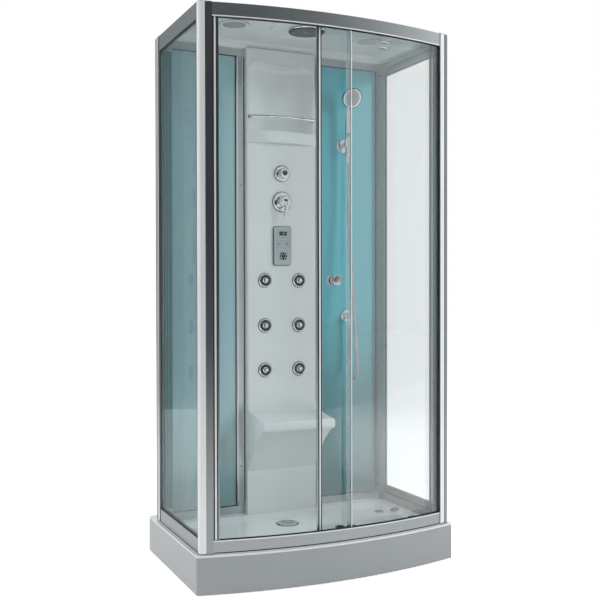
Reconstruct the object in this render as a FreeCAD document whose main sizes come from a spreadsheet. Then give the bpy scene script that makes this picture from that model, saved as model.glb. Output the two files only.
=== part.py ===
import FreeCAD, Part
import Sketcher
import math
import os
import re

# Steam shower cabin: bow-front tray, silver frame, sliding bowed door, teal back wall,
# moulded centre column with seat and shelf, hand shower, jets and ceiling fittings.
# Millimetres. +Z up, front faces -Y, origin under the centre of the whole cabin.

doc = FreeCAD.newDocument("steam_shower_cabin")
sizes = doc.addObject("Spreadsheet::Sheet", "Sizes")
layout = doc.addObject("Spreadsheet::Sheet", "Layout")

driving = (
    # whole cabin
    ("cabinWidth", 1100, "tray, side to side"),
    ("cabinDepth", 720, "tray, crown of the bow to the back"),
    ("frontBow", 70, "crown of the bow in front of the frame's corners"),
    ("trayHeight", 145, "floor to the tray's rim"),
    ("frameHeight", 2000, "tray's rim to the top of the rails"),
    ("frameInset", 13, "rim left outside the frame"),
    ("serviceDepth", 82, "rim left behind the frame for the pipes"),
    # tray
    ("rimThick", 6, "acrylic of the rim"),
    ("floorDrop", 14, "rim to the standing floor"),
    ("floorThick", 5, "acrylic of the floor"),
    ("floorSlope", 50, "width of the sloping edge of the floor"),
    ("floorBack", 188, "back edge of the recessed floor"),
    ("floorSide", 497, "half width of the recessed floor"),
    ("floorCorner", 40, "corner radius of the recessed floor"),
    ("skirtThick", 5, "apron panel"),
    ("skirtGap", 3, "apron above the bathroom floor"),
    ("skirtCorner", 12, "corner radius of tray and apron"),
    ("beamSide", 30, "square tube of the under-frame"),
    ("beamWall", 2, "wall of that tube"),
    ("footRadius", 25, "foot pad"),
    ("footHeight", 12, "foot pad"),
    ("studRadius", 6, "levelling stud"),
    ("drainX", -45, "waste"),
    ("drainY", 43, "waste"),
    ("drainRadius", 45, "waste cover"),
    ("wasteRadius", 20, "waste pipe"),
    ("floorJetRadius", 20, "floor nozzle flange"),
    # frame
    ("postWidth", 50, "posts, across the front"),
    ("frontPostFlank", 20, "front post, side face"),
    ("frontPostDepth", 46, "front post with its inner leg"),
    ("frontPostRound", 15, "front post, outer corner"),
    ("backPostDepth", 70, "back post"),
    ("backPostLip", 12, "back post, rebate for the glass"),
    ("backPostRound", 8, "back post, outer corner"),
    ("jambWidth", 24, "strike jamb beside the left front post"),
    ("topRailHeight", 50, "front top rail"),
    ("bottomRailHeight", 50, "front bottom rail"),
    ("railBody", 24, "front rails, thickness of the closed part"),
    ("railLip", 34, "front rails, to the inner edge of the track"),
    ("topTrackRise", 5, "top rail, lower edge to the track"),
    ("trackRise", 15, "bottom rail, upper edge to the guide lip"),
    ("trackThick", 3, "track web"),
    ("trackLip", 4, "upstand that the wheels run on"),
    ("trackEdge", 2, "thickness of that upstand"),
    ("sideTopHeight", 60, "side top rails"),
    ("sideBottomHeight", 58, "side bottom rails"),
    ("sideRailDepth", 32, "side rails, across"),
    ("sideRailStep", 19, "side rails, outer part that holds the glass"),
    ("backBottomHeight", 33, "back bottom rail"),
    ("backTopHeight", 41, "back top rail"),
    ("backRailProud", 6, "back rails in front of the wall panels"),
    ("roofLedge", 10, "ledge for the roof, below the frame's top"),
    ("roofInset", 14, "edge of that ledge inside the frame's outside"),
    # glass and panels
    ("glassThick", 6, "side and front glass"),
    ("glassSetback", 4, "side glass inside the frame's face"),
    ("grooveDepth", 18, "glass grooves in the rails"),
    ("grooveFree", 1, "play on each side of the glass in a groove"),
    ("seatGap", 0.3, "clearance between seated pieces"),
    ("frontGlassSetback", 11, "fixed front glass behind the rail's face"),
    ("frontGlassEdge", 57, "free edge of the fixed front glass, from the middle"),
    ("edgeSealWidth", 6, "seal on that edge"),
    ("wallSetback", 40, "wall panels in front of the frame's back"),
    ("panelThick", 6, "wall panels"),
    ("panelTuck", 10, "wall panels into their rails"),
    # door
    ("doorSetback", 43, "door glass behind the rail's face"),
    ("doorWidth", 545, "door glass along its curve"),
    ("doorEndGap", 16.066, "open door, rear edge to the right post"),
    ("doorTail", 15, "door glass above and below the rails' mouths"),
    ("doorProfileWidth", 16, "closing edge profile along the curve"),
    ("doorSealWidth", 3, "magnet strip in front of it"),
    ("doorProfileWall", 2.3, "closing edge profile beyond the glass faces"),
    ("rearSealWidth", 10, "strip on the other edge"),
    ("wheelInset", 70, "wheels from the ends of the door glass"),
    ("wheelRadius", 11, "wheel"),
    ("wheelGroove", 9.5, "bottom of its groove"),
    ("wheelWidth", 8, "wheel"),
    ("wheelBore", 4.05, "wheel bore"),
    ("axleRadius", 4, "its axle"),
    ("wheelFree", 0.05, "wheel above the track at rest"),
    ("holeRadius", 6, "holes in the door glass"),
    ("carrierRadius", 13, "carrier discs"),
    ("knobRadius", 19, "door knob"),
    ("knobInset", 64, "knob from the closing edge"),
    ("knobZ", 1142, "knob"),
    ("knobReach", 36, "knob, out from the glass"),
    # column
    ("columnHalf", 162, "half width of the column"),
    ("columnProud", 40, "column in front of the wall panels"),
    ("columnWall", 5, "acrylic of the column"),
    ("columnDeep", 24, "open back of the column behind the face of the wall panels"),
    ("trimWidth", 35, "strips beside the column"),
    ("trimProud", 12, "strips in front of the wall panels"),
    ("seatDepth", 198, "seat in front of the column"),
    ("seatFront", 563, "front edge of the seat"),
    ("seatRear", 585, "rear edge of the seat"),
    ("seatLip", 43, "height of the seat's front"),
    ("seatRound", 14, "seat's front edge"),
    ("braceFoot", 330, "foot of the curve below the seat"),
    ("shelfTop", 1785, "shelf"),
    ("shelfDeep", 34, "shelf in front of the column"),
    ("shelfTall", 49, "shelf"),
    ("nicheHalf", 150, "half width of the recess above the shelf"),
    ("nicheDepth", 54, "recess above the shelf"),
    ("nicheBelow", 55, "top of the recess below the roof"),
    ("nicheRound", 36, "upper edge of the recess"),
    ("towelZ", 1843, "towel rail"),
    ("towelHalf", 149, "half length of the towel rail"),
    ("towelRadius", 5, "towel rail tube"),
    ("towelBow", 26, "bow of the towel rail"),
    ("towelStand", 24, "towel rail ends in front of the column"),
    # jets
    ("jetSide", 80, "jets from the middle"),
    ("jetTop", 1146, "upper pair"),
    ("jetMiddle", 952, "middle pair"),
    ("jetLow", 761, "lower pair"),
    ("jetFlange", 30, "flange radius"),
    ("jetProud", 8, "flange thickness"),
    ("jetBarrel", 23, "barrel radius behind the flange"),
    ("jetDeep", 30, "barrel length"),
    ("jetBall", 17, "swivelling ball radius"),
    ("jetBallFree", 0.3, "ball in its socket"),
    ("jetTip", 8, "nozzle tip radius"),
    ("jetTipReach", 21, "nozzle tip from the ball's centre"),
    # valves
    ("diverterZ", 1608, "diverter"),
    ("diverterRose", 34, "diverter rosette radius"),
    ("mixerZ", 1486, "mixer"),
    ("mixerRose", 43, "mixer rosette radius"),
    ("roseThick", 8, "rosettes"),
    ("stemRadius", 10, "valve stems"),
    ("stemFree", 0.05, "stems in knob and mixer body"),
    ("diverterGrip", 20, "diverter knob radius"),
    ("diverterReach", 28, "diverter knob length"),
    ("mixerRadius", 24, "mixer body radius"),
    ("mixerReach", 34, "mixer body length"),
    ("leverDrop", 74, "lever below the mixer's axis"),
    ("leverPin", 4, "lever pin radius"),
    # control panel
    ("panelHalf", 40.5, "control panel, half width"),
    ("panelLow", 1212, "control panel, lower edge"),
    ("panelHigh", 1378, "control panel, upper edge"),
    ("panelProud", 14, "control panel thickness"),
    ("panelRound", 9, "control panel corners"),
    ("padRadius", 21, "round key pad"),
    ("padZ", 1251, "round key pad"),
    ("keyZ", 1304, "small keys"),
    ("keyHalf", 9, "small keys, half width"),
    ("keySide", 20, "small keys from the middle"),
    ("keyPocket", 6, "depth of the key pockets"),
    ("keyFree", 0.3, "keys in their pockets"),
    ("keyTravel", 1, "key stroke"),
    ("keyProud", 2.5, "keys in front of the panel"),
    # hand shower
    ("bracketX", 314, "hand shower holder"),
    ("bracketBelow", 393, "hand shower holder below the top of the frame"),
    ("bracketRose", 30, "its rosette radius"),
    ("pivotReach", 33, "holder's pivot in front of the wall"),
    ("handleReach", 56, "handle's axis in front of the wall"),
    ("handleRadius", 11.5, "handle at the clip"),
    ("clipFree", 0.3, "handle in the clip"),
    ("clipWall", 4.5, "clip"),
    ("clipHalf", 13, "clip, half height"),
    ("handleDrop", 62, "handle below the clip's middle"),
    ("handleRise", 168, "handle above the clip's middle"),
    ("headRadius", 43, "spray head"),
    ("headThick", 20, "spray head"),
    ("headTilt", 24, "spray face below the level, degrees"),
    ("hoseRadius", 7, "hose"),
    ("outletX", 332, "hose outlet"),
    ("outletZ", 988, "hose outlet"),
    ("outletReach", 43, "hose outlet in front of the wall"),
    # roof
    ("roofThick", 5, "roof skin"),
    ("roofRise", 25, "ceiling above the roof's flange"),
    ("roofFlange", 45, "width of the flange"),
    ("roofSlope", 25, "width of the sloping part"),
    ("roofRound", 20, "roof corners"),
    ("rainX", 0, "rain head"),
    ("rainY", -55, "rain head"),
    ("rainRadius", 74, "rain head"),
    ("rainRing", 143, "moulded ring round it"),
    ("portInset", 237, "fan and loudspeaker from the side of the frame"),
    ("portY", -20, "fan and loudspeaker"),
    ("portRadius", 58, "their grilles"),
    ("fanRadius", 42, "fan blades"),
    ("spotRadius", 22, "ceiling lamps"),
    # services
    ("boilerHalf", 110, "steam generator, half width"),
    ("boilerDepth", 64, "steam generator"),
    ("boilerTall", 330, "steam generator"),
    ("tailRadius", 10.48, "water inlets, half-inch pipe thread"),
    ("tailSide", 75, "water inlets from the middle"),
    ("tailZ", 1320, "water inlets"),
    ("tailEnd", 340, "end of the water inlets"),
)

derived = (
    ("frameHalf", "cabinWidth / 2 - frameInset"),
    ("arcRadius", "(frameHalf ^ 2 + frontBow ^ 2) / (2 * frontBow)"),
    ("frontApex", "frameInset - cabinDepth / 2"),
    ("arcCentre", "frontApex + arcRadius"),
    ("frontCorner", "frontApex + frontBow"),
    ("frameBack", "cabinDepth / 2 - serviceDepth"),
    ("frameTop", "trayHeight + frameHeight"),
    ("postInner", "frameHalf - postWidth"),
    ("postFaceY", "arcCentre - sqrt(arcRadius ^ 2 - postInner ^ 2)"),
    ("wallFace", "frameBack - wallSetback"),
    ("columnBack", "wallFace + columnDeep"),
    ("columnFace", "wallFace - columnProud"),
    ("topRailZ", "frameTop - topRailHeight"),
    ("bottomRailTop", "trayHeight + bottomRailHeight"),
    ("glassOuter", "frameHalf - glassSetback"),
    ("glassInner", "glassOuter - glassThick"),
    ("legOuter", "glassInner - 2 * grooveFree"),
    ("legEnd", "frontCorner + frontPostDepth"),
    ("flankEnd", "frontCorner + frontPostFlank"),
    ("backPostFront", "frameBack - backPostDepth"),
    ("sideRailInner", "frameHalf - sideRailDepth"),
    ("doorRadius", "arcRadius - doorSetback"),
    ("frontGlassRadius", "arcRadius - frontGlassSetback"),
    ("trackRadius", "arcRadius - railLip + trackEdge / 2"),
    ("doorSpan", "doorWidth / doorRadius * 180 / pi"),
    ("doorRestAngle", "asin((postInner - doorEndGap) / doorRadius) / 1 deg - doorSpan"),
    ("doorTop", "topRailZ + doorTail + 18"),
    ("doorBottom", "bottomRailTop - doorTail - 20"),
    ("topTrack", "topRailZ + topTrackRise + trackLip"),
    ("bottomTrack", "bottomRailTop - trackRise + trackThick"),
    ("wheelZ", "topTrack + wheelGroove + wheelFree"),
    ("trayFloor", "trayHeight - floorDrop"),
    ("floorUnder", "trayFloor - floorThick"),
    ("wallLow", "trayHeight + backBottomHeight"),
    ("wallHigh", "frameTop - backTopHeight"),
    ("roofSeat", "frameTop - roofLedge"),
    ("ceiling", "roofSeat + roofRise"),
    ("nicheTop", "roofSeat - nicheBelow"),
    ("bracketZ", "frameTop - bracketBelow"),
    ("portSide", "frameHalf - portInset"),
    ("panelFace", "columnFace - panelProud"),
    ("boilerFront", "frameBack + 5"),
    ("glassEdgeAngle", "asin(frontGlassEdge / frontGlassRadius) / 1 deg"),
    ("strikeAngle", "-asin((postInner - jambWidth) / (doorRadius - glassThick / 2)) / 1 deg"),
)


def aliasText(text):
    """Turns the plain names in a formula into references to the two sheets."""
    def reference(match):
        word = match.group(0)
        if word in drivingNames:
            return "Sizes." + word
        if word in derivedNames:
            return "Layout." + word
        return word
    return re.sub(r"[A-Za-z]\w*", reference, text)


drivingNames = {row[0] for row in driving}
derivedNames = {row[0] for row in derived}
for number, (alias, value, note) in enumerate(driving, start=1):
    sizes.set("A%d" % number, note)
    sizes.set("B%d" % number, str(value))
    sizes.setAlias("B%d" % number, alias)
doc.recompute()
for number, (alias, formula) in enumerate(derived, start=1):
    layout.set("A%d" % number, alias + " =")
    layout.set("B%d" % number, "=" + aliasText(formula))
    layout.setAlias("B%d" % number, alias)
    doc.recompute()


def size(alias):
    """The number in the cell with this alias."""
    sheet = sizes if alias in drivingNames else layout
    return float(getattr(sheet, alias))


def vector(x, y, z):
    return FreeCAD.Vector(x, y, z)


xAxis, yAxis, zAxis = vector(1, 0, 0), vector(0, 1, 0), vector(0, 0, 1)
origin = vector(0, 0, 0)
nodes = []


def node(piece, label):
    """Names a finished sub-part after its node and lists it for the files."""
    piece.Label = label
    nodes.append(piece)
    return piece


def bind(piece, **formulas):
    """Binds properties to the sheets; x, y and z stand for the placement."""
    places = {"x": "Placement.Base.x", "y": "Placement.Base.y", "z": "Placement.Base.z",
              "turn": "Placement.Rotation.Angle"}
    for name, formula in formulas.items():
        piece.setExpression(places.get(name, name), aliasText(str(formula)))
    return piece


def box(name, x, y, z, length, width, height):
    piece = doc.addObject("Part::Box", name)
    return bind(piece, Length=length, Width=width, Height=height, x=x, y=y, z=z)


def cylinder(name, x, y, z, radius, height, axis=zAxis):
    piece = doc.addObject("Part::Cylinder", name)
    piece.Placement = FreeCAD.Placement(origin, FreeCAD.Rotation(zAxis, axis))
    return bind(piece, Radius=radius, Height=height, x=x, y=y, z=z)


def joined(name, pieces):
    piece = doc.addObject("Part::MultiFuse", name)
    piece.Shapes = pieces
    return piece


def cut(name, base, tools):
    piece = doc.addObject("Part::Cut", name)
    piece.Base = base
    piece.Tool = tools[0] if len(tools) == 1 else joined(name + "Tools", tools)
    return piece


def common(name, pieces):
    piece = doc.addObject("Part::MultiCommon", name)
    piece.Shapes = pieces
    return piece


def solid(name, shape):
    """A sub-part whose form comes from Part's own functions."""
    piece = doc.addObject("Part::Feature", name)
    piece.Shape = shape
    return piece


def sketch(body, name, role, outline):
    """A closed outline of straight sides whose corners are bound to the sheets."""
    face = body.newObject("Sketcher::SketchObject", name)
    plane = [item for item in body.Origin.OriginFeatures if item.Role == role][0]
    face.AttachmentSupport = (plane, [""])
    face.MapMode = "FlatFace"
    texts = [(aliasText(across), aliasText(along)) for across, along in outline]
    scratch = doc.addObject("Spreadsheet::Sheet", name + "Corners")
    for row, (across, along) in enumerate(texts, start=1):
        scratch.set("A%d" % row, "=" + across)
        scratch.set("B%d" % row, "=" + along)
    doc.recompute()
    corners = [vector(float(scratch.get("A%d" % row)), float(scratch.get("B%d" % row)), 0)
               for row in range(1, len(texts) + 1)]
    doc.removeObject(scratch.Name)
    count = len(corners)
    for row, corner in enumerate(corners):
        face.addGeometry(Part.LineSegment(corner, corners[(row + 1) % count]))
    for row in range(count):
        face.addConstraint(Sketcher.Constraint("Coincident", row, 2, (row + 1) % count, 1))
    for row, corner in enumerate(corners):
        for kind, value, text in (("DistanceX", corner.x, texts[row][0]),
                                  ("DistanceY", corner.y, texts[row][1])):
            rule = face.addConstraint(Sketcher.Constraint(kind, -1, 1, row, 1, value))
            face.setExpression("Constraints[%d]" % rule, text)
    return face


def extrusion(name, role, outline, length, **place):
    """A body padded from one straight-sided outline."""
    body = doc.addObject("PartDesign::Body", name)
    face = sketch(body, name + "Outline", role, outline)
    pad = body.newObject("PartDesign::Pad", name + "Pad")
    pad.Profile = face
    pad.setExpression("Length", aliasText(length))
    face.Visibility = False
    bind(body, **place)
    doc.recompute()
    return body


def revolution(name, outline, degrees=360):
    """A body turned from an outline of (radius, height) about its own Z axis."""
    body = doc.addObject("PartDesign::Body", name)
    face = sketch(body, name + "Outline", "XZ_Plane", outline)
    turned = body.newObject("PartDesign::Revolution", name + "Turn")
    turned.Profile = face
    turned.ReferenceAxis = (face, ["V_Axis"])
    turned.Angle = degrees
    face.Visibility = False
    doc.recompute()
    return body


def rounded(body, name, radius, chooses):
    """Rounds the edges of a body's last feature that the test picks out."""
    base = body.Tip
    picked = ["Edge%d" % number for number, edge in enumerate(base.Shape.Edges, start=1)
              if chooses(edge)]
    fillet = body.newObject("PartDesign::Fillet", name)
    fillet.Base = (base, picked)
    fillet.setExpression("Radius", aliasText(radius))
    doc.recompute()
    return body


def upright(edge):
    """True for an edge that runs along Z."""
    box = edge.BoundBox
    return box.ZLength > 1 and box.XLength < 0.01 and box.YLength < 0.01


def near(value, target):
    return abs(value - target) < 0.01


# curved front


def arcPoint(radius, degrees, z=0.0):
    """A point on the bow: degrees from the middle, positive to the right."""
    turn = math.radians(degrees)
    return vector(radius * math.sin(turn), size("arcCentre") - radius * math.cos(turn), z)


def arcBand(name, outer, inner, low, height, start, span):
    """A curved plate about the bow's centre, between two angles from the middle."""
    shells = []
    for suffix, radius in (("Outer", outer), ("Inner", inner)):
        shell = doc.addObject("Part::Cylinder", name + suffix)
        shell.Placement = FreeCAD.Placement(origin, FreeCAD.Rotation(zAxis, 0.01))
        bind(shell, Radius=radius, Height=height, Angle=span, y="arcCentre", z=low)
        bind(shell, turn="%s - 90 + 360" % start)
        shells.append(shell)
    return cut(name, shells[0], shells[1:])


def curvedRail(name, outline):
    """A rail section swept round the bow and cut off square at the posts."""
    body = revolution(name + "Bow", outline, 60)
    body.Placement = FreeCAD.Placement(origin, FreeCAD.Rotation(zAxis, 240))
    bind(body, y="arcCentre")
    window = box(name + "Window", "-postInner", "frontApex - 10", "trayHeight - 10",
                 "2 * postInner", "frontBow + 60", "frameHeight + 20")
    return common(name, [body, window])


# tray


def trayOutline(half, radius, back):
    """The plan of the tray or the roof: straight sides and back, bowed front."""
    centre = size("arcCentre")
    cornerY = centre - math.sqrt(radius ** 2 - half ** 2)
    left, right = vector(-half, cornerY, 0), vector(half, cornerY, 0)
    bow = Part.Arc(left, vector(0, centre - radius, 0), right).toShape()
    sides = [Part.makeLine(right, vector(half, back, 0)),
             Part.makeLine(vector(half, back, 0), vector(-half, back, 0)),
             Part.makeLine(vector(-half, back, 0), left)]
    return Part.Wire([bow] + sides)


def plate(outline, low, height, corner=0.0):
    """An upright prism on a plan outline, with its corners rounded."""
    prism = Part.Face(outline).extrude(vector(0, 0, height))
    prism.translate(vector(0, 0, low))
    if corner > 0:
        prism = prism.makeFillet(corner, [edge for edge in prism.Edges if upright(edge)])
    return prism


def funnel(lower, lowZ, upper, highZ, corner):
    """A sloping block between two plan outlines, its slanted corners rounded."""
    lower.translate(vector(0, 0, lowZ))
    upper.translate(vector(0, 0, highZ))
    block = Part.makeLoft([lower, upper], True, True)
    slanted = [edge for edge in block.Edges
               if near(edge.BoundBox.ZMin, lowZ) and near(edge.BoundBox.ZMax, highZ)]
    return block.makeFillet(corner, slanted)


def planRadius(inset):
    """Radius of the tray's bowed front, set in from the tray's edge."""
    return size("arcRadius") + size("frameInset") - inset


def trayBasin():
    width, back = size("cabinWidth") / 2, size("cabinDepth") / 2
    top, floor = size("trayHeight"), size("trayFloor")
    slope, thick = size("floorSlope"), size("floorThick")
    half, floorBack = size("floorSide"), size("floorBack")
    reach = size("frameInset") + size("doorSetback") + size("glassThick") + 8
    rim = plate(trayOutline(width, planRadius(0), back), top - size("rimThick"),
                size("rimThick"), size("skirtCorner"))
    rimEdges = [edge for edge in rim.Edges
                if near(edge.BoundBox.ZMin, top) and near(edge.BoundBox.ZMax, top)]
    rim = rim.makeFillet(2.5, rimEdges)
    inside = funnel(trayOutline(half - slope, planRadius(reach + slope), floorBack - slope), floor,
                    trayOutline(half, planRadius(reach), floorBack), top + 0.01,
                    size("floorCorner"))
    outside = funnel(trayOutline(half - slope + thick, planRadius(reach + slope - thick),
                                 floorBack - slope + thick), floor - thick,
                     trayOutline(half + thick, planRadius(reach - thick), floorBack + thick), top,
                     size("floorCorner") + thick)
    hole = Part.makeCylinder(size("drainRadius") + size("seatGap"), 2 * top,
                             vector(size("drainX"), size("drainY"), 0))
    return rim.fuse(outside).cut(inside).cut(hole).removeSplitter()


def traySkirt():
    width, back = size("cabinWidth") / 2, size("cabinDepth") / 2
    wall, corner = size("skirtThick"), size("skirtCorner")
    low = size("skirtGap")
    tall = size("trayHeight") - size("rimThick") - low
    outside = plate(trayOutline(width, planRadius(0), back), low, tall, corner)
    inside = plate(trayOutline(width - wall, planRadius(wall), back - wall), low - 1, tall + 2,
                   corner - wall)
    pipeWay = Part.makeBox(130, 60, 0.85 * tall, vector(size("drainX") - 65, back - 30, low - 1))
    return outside.cut(inside).cut(pipeWay)


def tube(start, end, side, wall):
    """A square tube from one point to another, along X or along Y."""
    along = end - start
    thick = vector(0, side, 0) if along.x else vector(side, 0, 0)
    outside = Part.makeBox(abs(along.x + thick.x), abs(along.y + thick.y), side, start - thick / 2)
    inner = side - 2 * wall
    bore = vector(0, inner, 0) if along.x else vector(inner, 0, 0)
    hollow = Part.makeBox(abs(along.x + bore.x), abs(along.y + bore.y), inner,
                          start - bore / 2 + vector(0, 0, wall))
    return outside.cut(hollow)


def underFrame():
    side, wall = size("beamSide"), size("beamWall")
    low = size("floorUnder") - side
    half = size("floorSide") - size("floorSlope") - side
    front, back = size("frontCorner") + 95, size("floorBack") - size("floorSlope") - side
    beams = [tube(vector(-half, y, low), vector(half, y, low), side, wall) for y in (front, back)]
    places = (-half + side, -0.45 * half, 0.3 * half, half - side)
    beams += [tube(vector(x, front + side / 2, low), vector(x, back - side / 2, low), side, wall)
              for x in places]
    feet = []
    for x in (-half + 2 * side + 15, 0, half - 2 * side - 15):
        for y in (front, back):
            pad = Part.makeCone(size("footRadius"), 0.5 * size("footRadius"), size("footHeight"),
                                vector(x, y, 0))
            stud = Part.makeCylinder(size("studRadius"), low, vector(x, y, 0))
            nut = Part.makeCylinder(1.7 * size("studRadius"), 10, vector(x, y, low - 10))
            feet.append(pad.fuse([stud, nut]))
    pipeWay = Part.makeCylinder(size("wasteRadius") + 0.5, size("cabinDepth"),
                                vector(size("drainX"), size("drainY"), size("floorUnder") - 42), yAxis)
    frame = beams[0].fuse(beams[1:]).cut(pipeWay)
    return Part.Compound([frame.fuse(feet).removeSplitter()])


def wasteTrap():
    x, y, top = size("drainX"), size("drainY"), size("trayFloor")
    radius = size("drainRadius")
    flange = Part.makeCylinder(radius + 4, 4, vector(x, y, top - size("floorThick") - 4))
    collar = Part.makeCylinder(radius, size("floorThick") + 3, vector(x, y, top - size("floorThick") - 4))
    cup = Part.makeCylinder(radius, 62, vector(x, y, top - size("floorThick") - 66))
    pipe = Part.makeCylinder(size("wasteRadius"), size("cabinDepth") / 2 - 12 - y,
                             vector(x, y, top - size("floorThick") - 42), yAxis)
    shoulder = Part.makeCylinder(size("wasteRadius") + 4, 8,
                                 vector(x, size("cabinDepth") / 2 - 60, top - size("floorThick") - 42),
                                 yAxis)
    body = flange.fuse([collar, cup, pipe, shoulder])
    bowl = Part.makeCylinder(radius - 4, 60, vector(x, y, top - size("floorThick") - 62))
    bore = Part.makeCylinder(size("wasteRadius") - 2.5, size("cabinDepth") / 2,
                             vector(x, y, top - size("floorThick") - 42), yAxis)
    lip = Part.makeCylinder(radius - 4, 20, vector(x, y, top - 12))
    return body.cut(bowl).cut(bore).cut(lip)


def drainCover():
    """A slotted dome that lies on the waste's collar."""
    x, y, seat = size("drainX"), size("drainY"), size("trayFloor") - 1
    radius = size("drainRadius") - 0.5
    dome = Part.makeCylinder(radius, 7, vector(0, 0, seat))
    rim = [edge for edge in dome.Edges if near(edge.BoundBox.ZMin, seat + 7)]
    dome = dome.makeFillet(4.5, rim)
    hollow = Part.makeCylinder(radius - 8, 4, vector(0, 0, seat - 1))
    slots = []
    for number in range(12):
        slot = Part.makeBox(17, 3.2, 20, vector(14, -1.6, seat - 5))
        slot.rotate(origin, zAxis, 30 * number)
        slots.append(slot)
    cover = dome.cut(hollow).cut(slots[0].fuse(slots[1:]))
    cover.translate(vector(x, y, 0))
    return cover


floorJetPlaces = ((size("floorSide") - 97, 55), (size("floorSide") - 29, 35),
                  (size("floorSide") - 29, size("frontCorner") + 167),
                  (127, size("frontCorner") + 176), (176, size("frontCorner") + 168))


def floorJets():
    """Nozzle rings in the tray's floor, each with its barrel below."""
    radius, floor, thick = size("floorJetRadius"), size("trayFloor"), size("floorThick")
    rings = []
    for x, y in floorJetPlaces:
        level = floor + (size("floorDrop") * max(0.0, 1 - (size("floorSide") - x) / size("floorSlope")))
        ring = Part.makeCone(radius, radius - 5, 5, vector(x, y, level))
        barrel = Part.makeCylinder(radius - 6, thick + 1.9, vector(x, y, level - thick + 0.1))
        throat = Part.makeCylinder(radius - 12, 40, vector(x, y, level - 12))
        rings.append(ring.fuse(barrel).cut(throat))
    return rings


basinShape = trayBasin()
jetShapes = floorJets()
barrels = [Part.makeCylinder(size("floorJetRadius") - 6 + 0.2, 60, vector(x, y, size("trayFloor") - 30))
           for x, y in floorJetPlaces]
basinShape = basinShape.cut(barrels[0].fuse(barrels[1:]))
basinShape = basinShape.cut(jetShapes[0].fuse(jetShapes[1:]))
node(solid("TrayBasin", basinShape), "tray_basin")
node(solid("TraySkirt", traySkirt()), "tray_skirt")
node(solid("UnderFrame", underFrame()), "under_frame")
node(solid("WasteTrap", wasteTrap()), "waste_trap")
node(solid("DrainCover", drainCover()), "drain_cover")
node(solid("FloorJets", Part.Compound(jetShapes)), "floor_jets")

# frame

roofPocket = common("RoofPocket", [
    cylinder("RoofPocketBow", "0", "arcCentre", "roofSeat", "arcRadius - roofInset", "2 * roofLedge"),
    box("RoofPocketSides", "-(frameHalf - roofInset)", "frontApex", "roofSeat",
        "2 * (frameHalf - roofInset)", "frameBack - frontApex - roofInset", "2 * roofLedge")])


def frontPost(name, sign):
    """Rounded corner profile whose front follows the bow; the inner leg backs the side glass."""
    side = "%d * " % sign
    outline = [(side + "postInner", "postFaceY"), (side + "frameHalf", "frontCorner"),
               (side + "frameHalf", "flankEnd"), (side + "legOuter", "flankEnd"),
               (side + "legOuter", "legEnd"), (side + "postInner", "legEnd"),
               (side + "postInner", "postFaceY + 16"), (side + "(postInner + 3)", "postFaceY + 14"),
               (side + "(postInner + 3)", "postFaceY + 9"), (side + "postInner", "postFaceY + 7")]
    body = extrusion(name + "Profile", "XY_Plane", outline, "frameHeight", z="trayHeight")
    rounded(body, name + "Round", "frontPostRound",
            lambda edge: upright(edge) and near(abs(edge.BoundBox.XMax), size("frameHalf"))
            and near(edge.BoundBox.YMax, size("frontCorner")))
    return body


def backPost(name, sign):
    """Deep corner profile with two shadow grooves and a rebate for the side glass."""
    side = "%d * " % sign
    outline = [(side + "postInner", "frameBack"), (side + "frameHalf", "frameBack")]
    for start in ("frameBack - 16", "frameBack - 38"):
        outline += [(side + "frameHalf", start), (side + "(frameHalf - 2.5)", start + " - 2"),
                    (side + "(frameHalf - 2.5)", start + " - 5"), (side + "frameHalf", start + " - 7")]
    outline += [(side + "frameHalf", "backPostFront + backPostLip"),
                (side + "legOuter", "backPostFront + backPostLip"),
                (side + "legOuter", "backPostFront"), (side + "postInner", "backPostFront")]
    body = extrusion(name + "Profile", "XY_Plane", outline, "frameHeight", z="trayHeight")
    rounded(body, name + "Round", "backPostRound",
            lambda edge: upright(edge) and near(abs(edge.BoundBox.XMax), size("frameHalf"))
            and near(edge.BoundBox.YMax, size("frameBack")))
    return body


def frontPosts():
    jamb = common("StrikeJamb", [
        arcBand("JambBand", "arcRadius - 5", "arcRadius - 55", "bottomRailTop",
                "topRailZ - bottomRailTop", "-20", "10"),
        box("JambWindow", "-postInner", "frontApex", "trayHeight", "jambWidth", "150",
            "frameHeight")])
    left = joined("FrontPostLeftWhole", [frontPost("FrontPostLeft", -1), jamb])
    node(cut("FrontPostLeft", left, [roofPocket]), "front_post_left")
    node(cut("FrontPostRight", frontPost("FrontPostRightWhole", 1), [roofPocket]), "front_post_right")


def topRail():
    """Front top rail: glass groove below, roof ledge above, wheel track behind."""
    face, body, lip = "arcRadius", "arcRadius - railBody", "arcRadius - railLip"
    groove = "frontGlassSetback - grooveFree"
    back = "frontGlassSetback + glassThick + grooveFree"
    track = "topRailZ + topTrackRise"
    outline = [(face + " - 1.5", "topRailZ"), (face, "topRailZ + 1.5"), (face, "frameTop"),
               ("arcRadius - roofInset", "frameTop"), ("arcRadius - roofInset", "roofSeat"),
               (body, "roofSeat"), (body, track), (lip + " + trackEdge", track),
               (lip + " + trackEdge", "topTrack"), (lip, "topTrack"), (lip, track + " - trackThick"),
               (body, track + " - trackThick"), (body, "topRailZ"),
               ("arcRadius - (%s)" % back, "topRailZ"),
               ("arcRadius - (%s)" % back, "topRailZ + grooveDepth"),
               ("arcRadius - (%s)" % groove, "topRailZ + grooveDepth"),
               ("arcRadius - (%s)" % groove, "topRailZ")]
    return curvedRail("FrontRailTop", outline)


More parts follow.
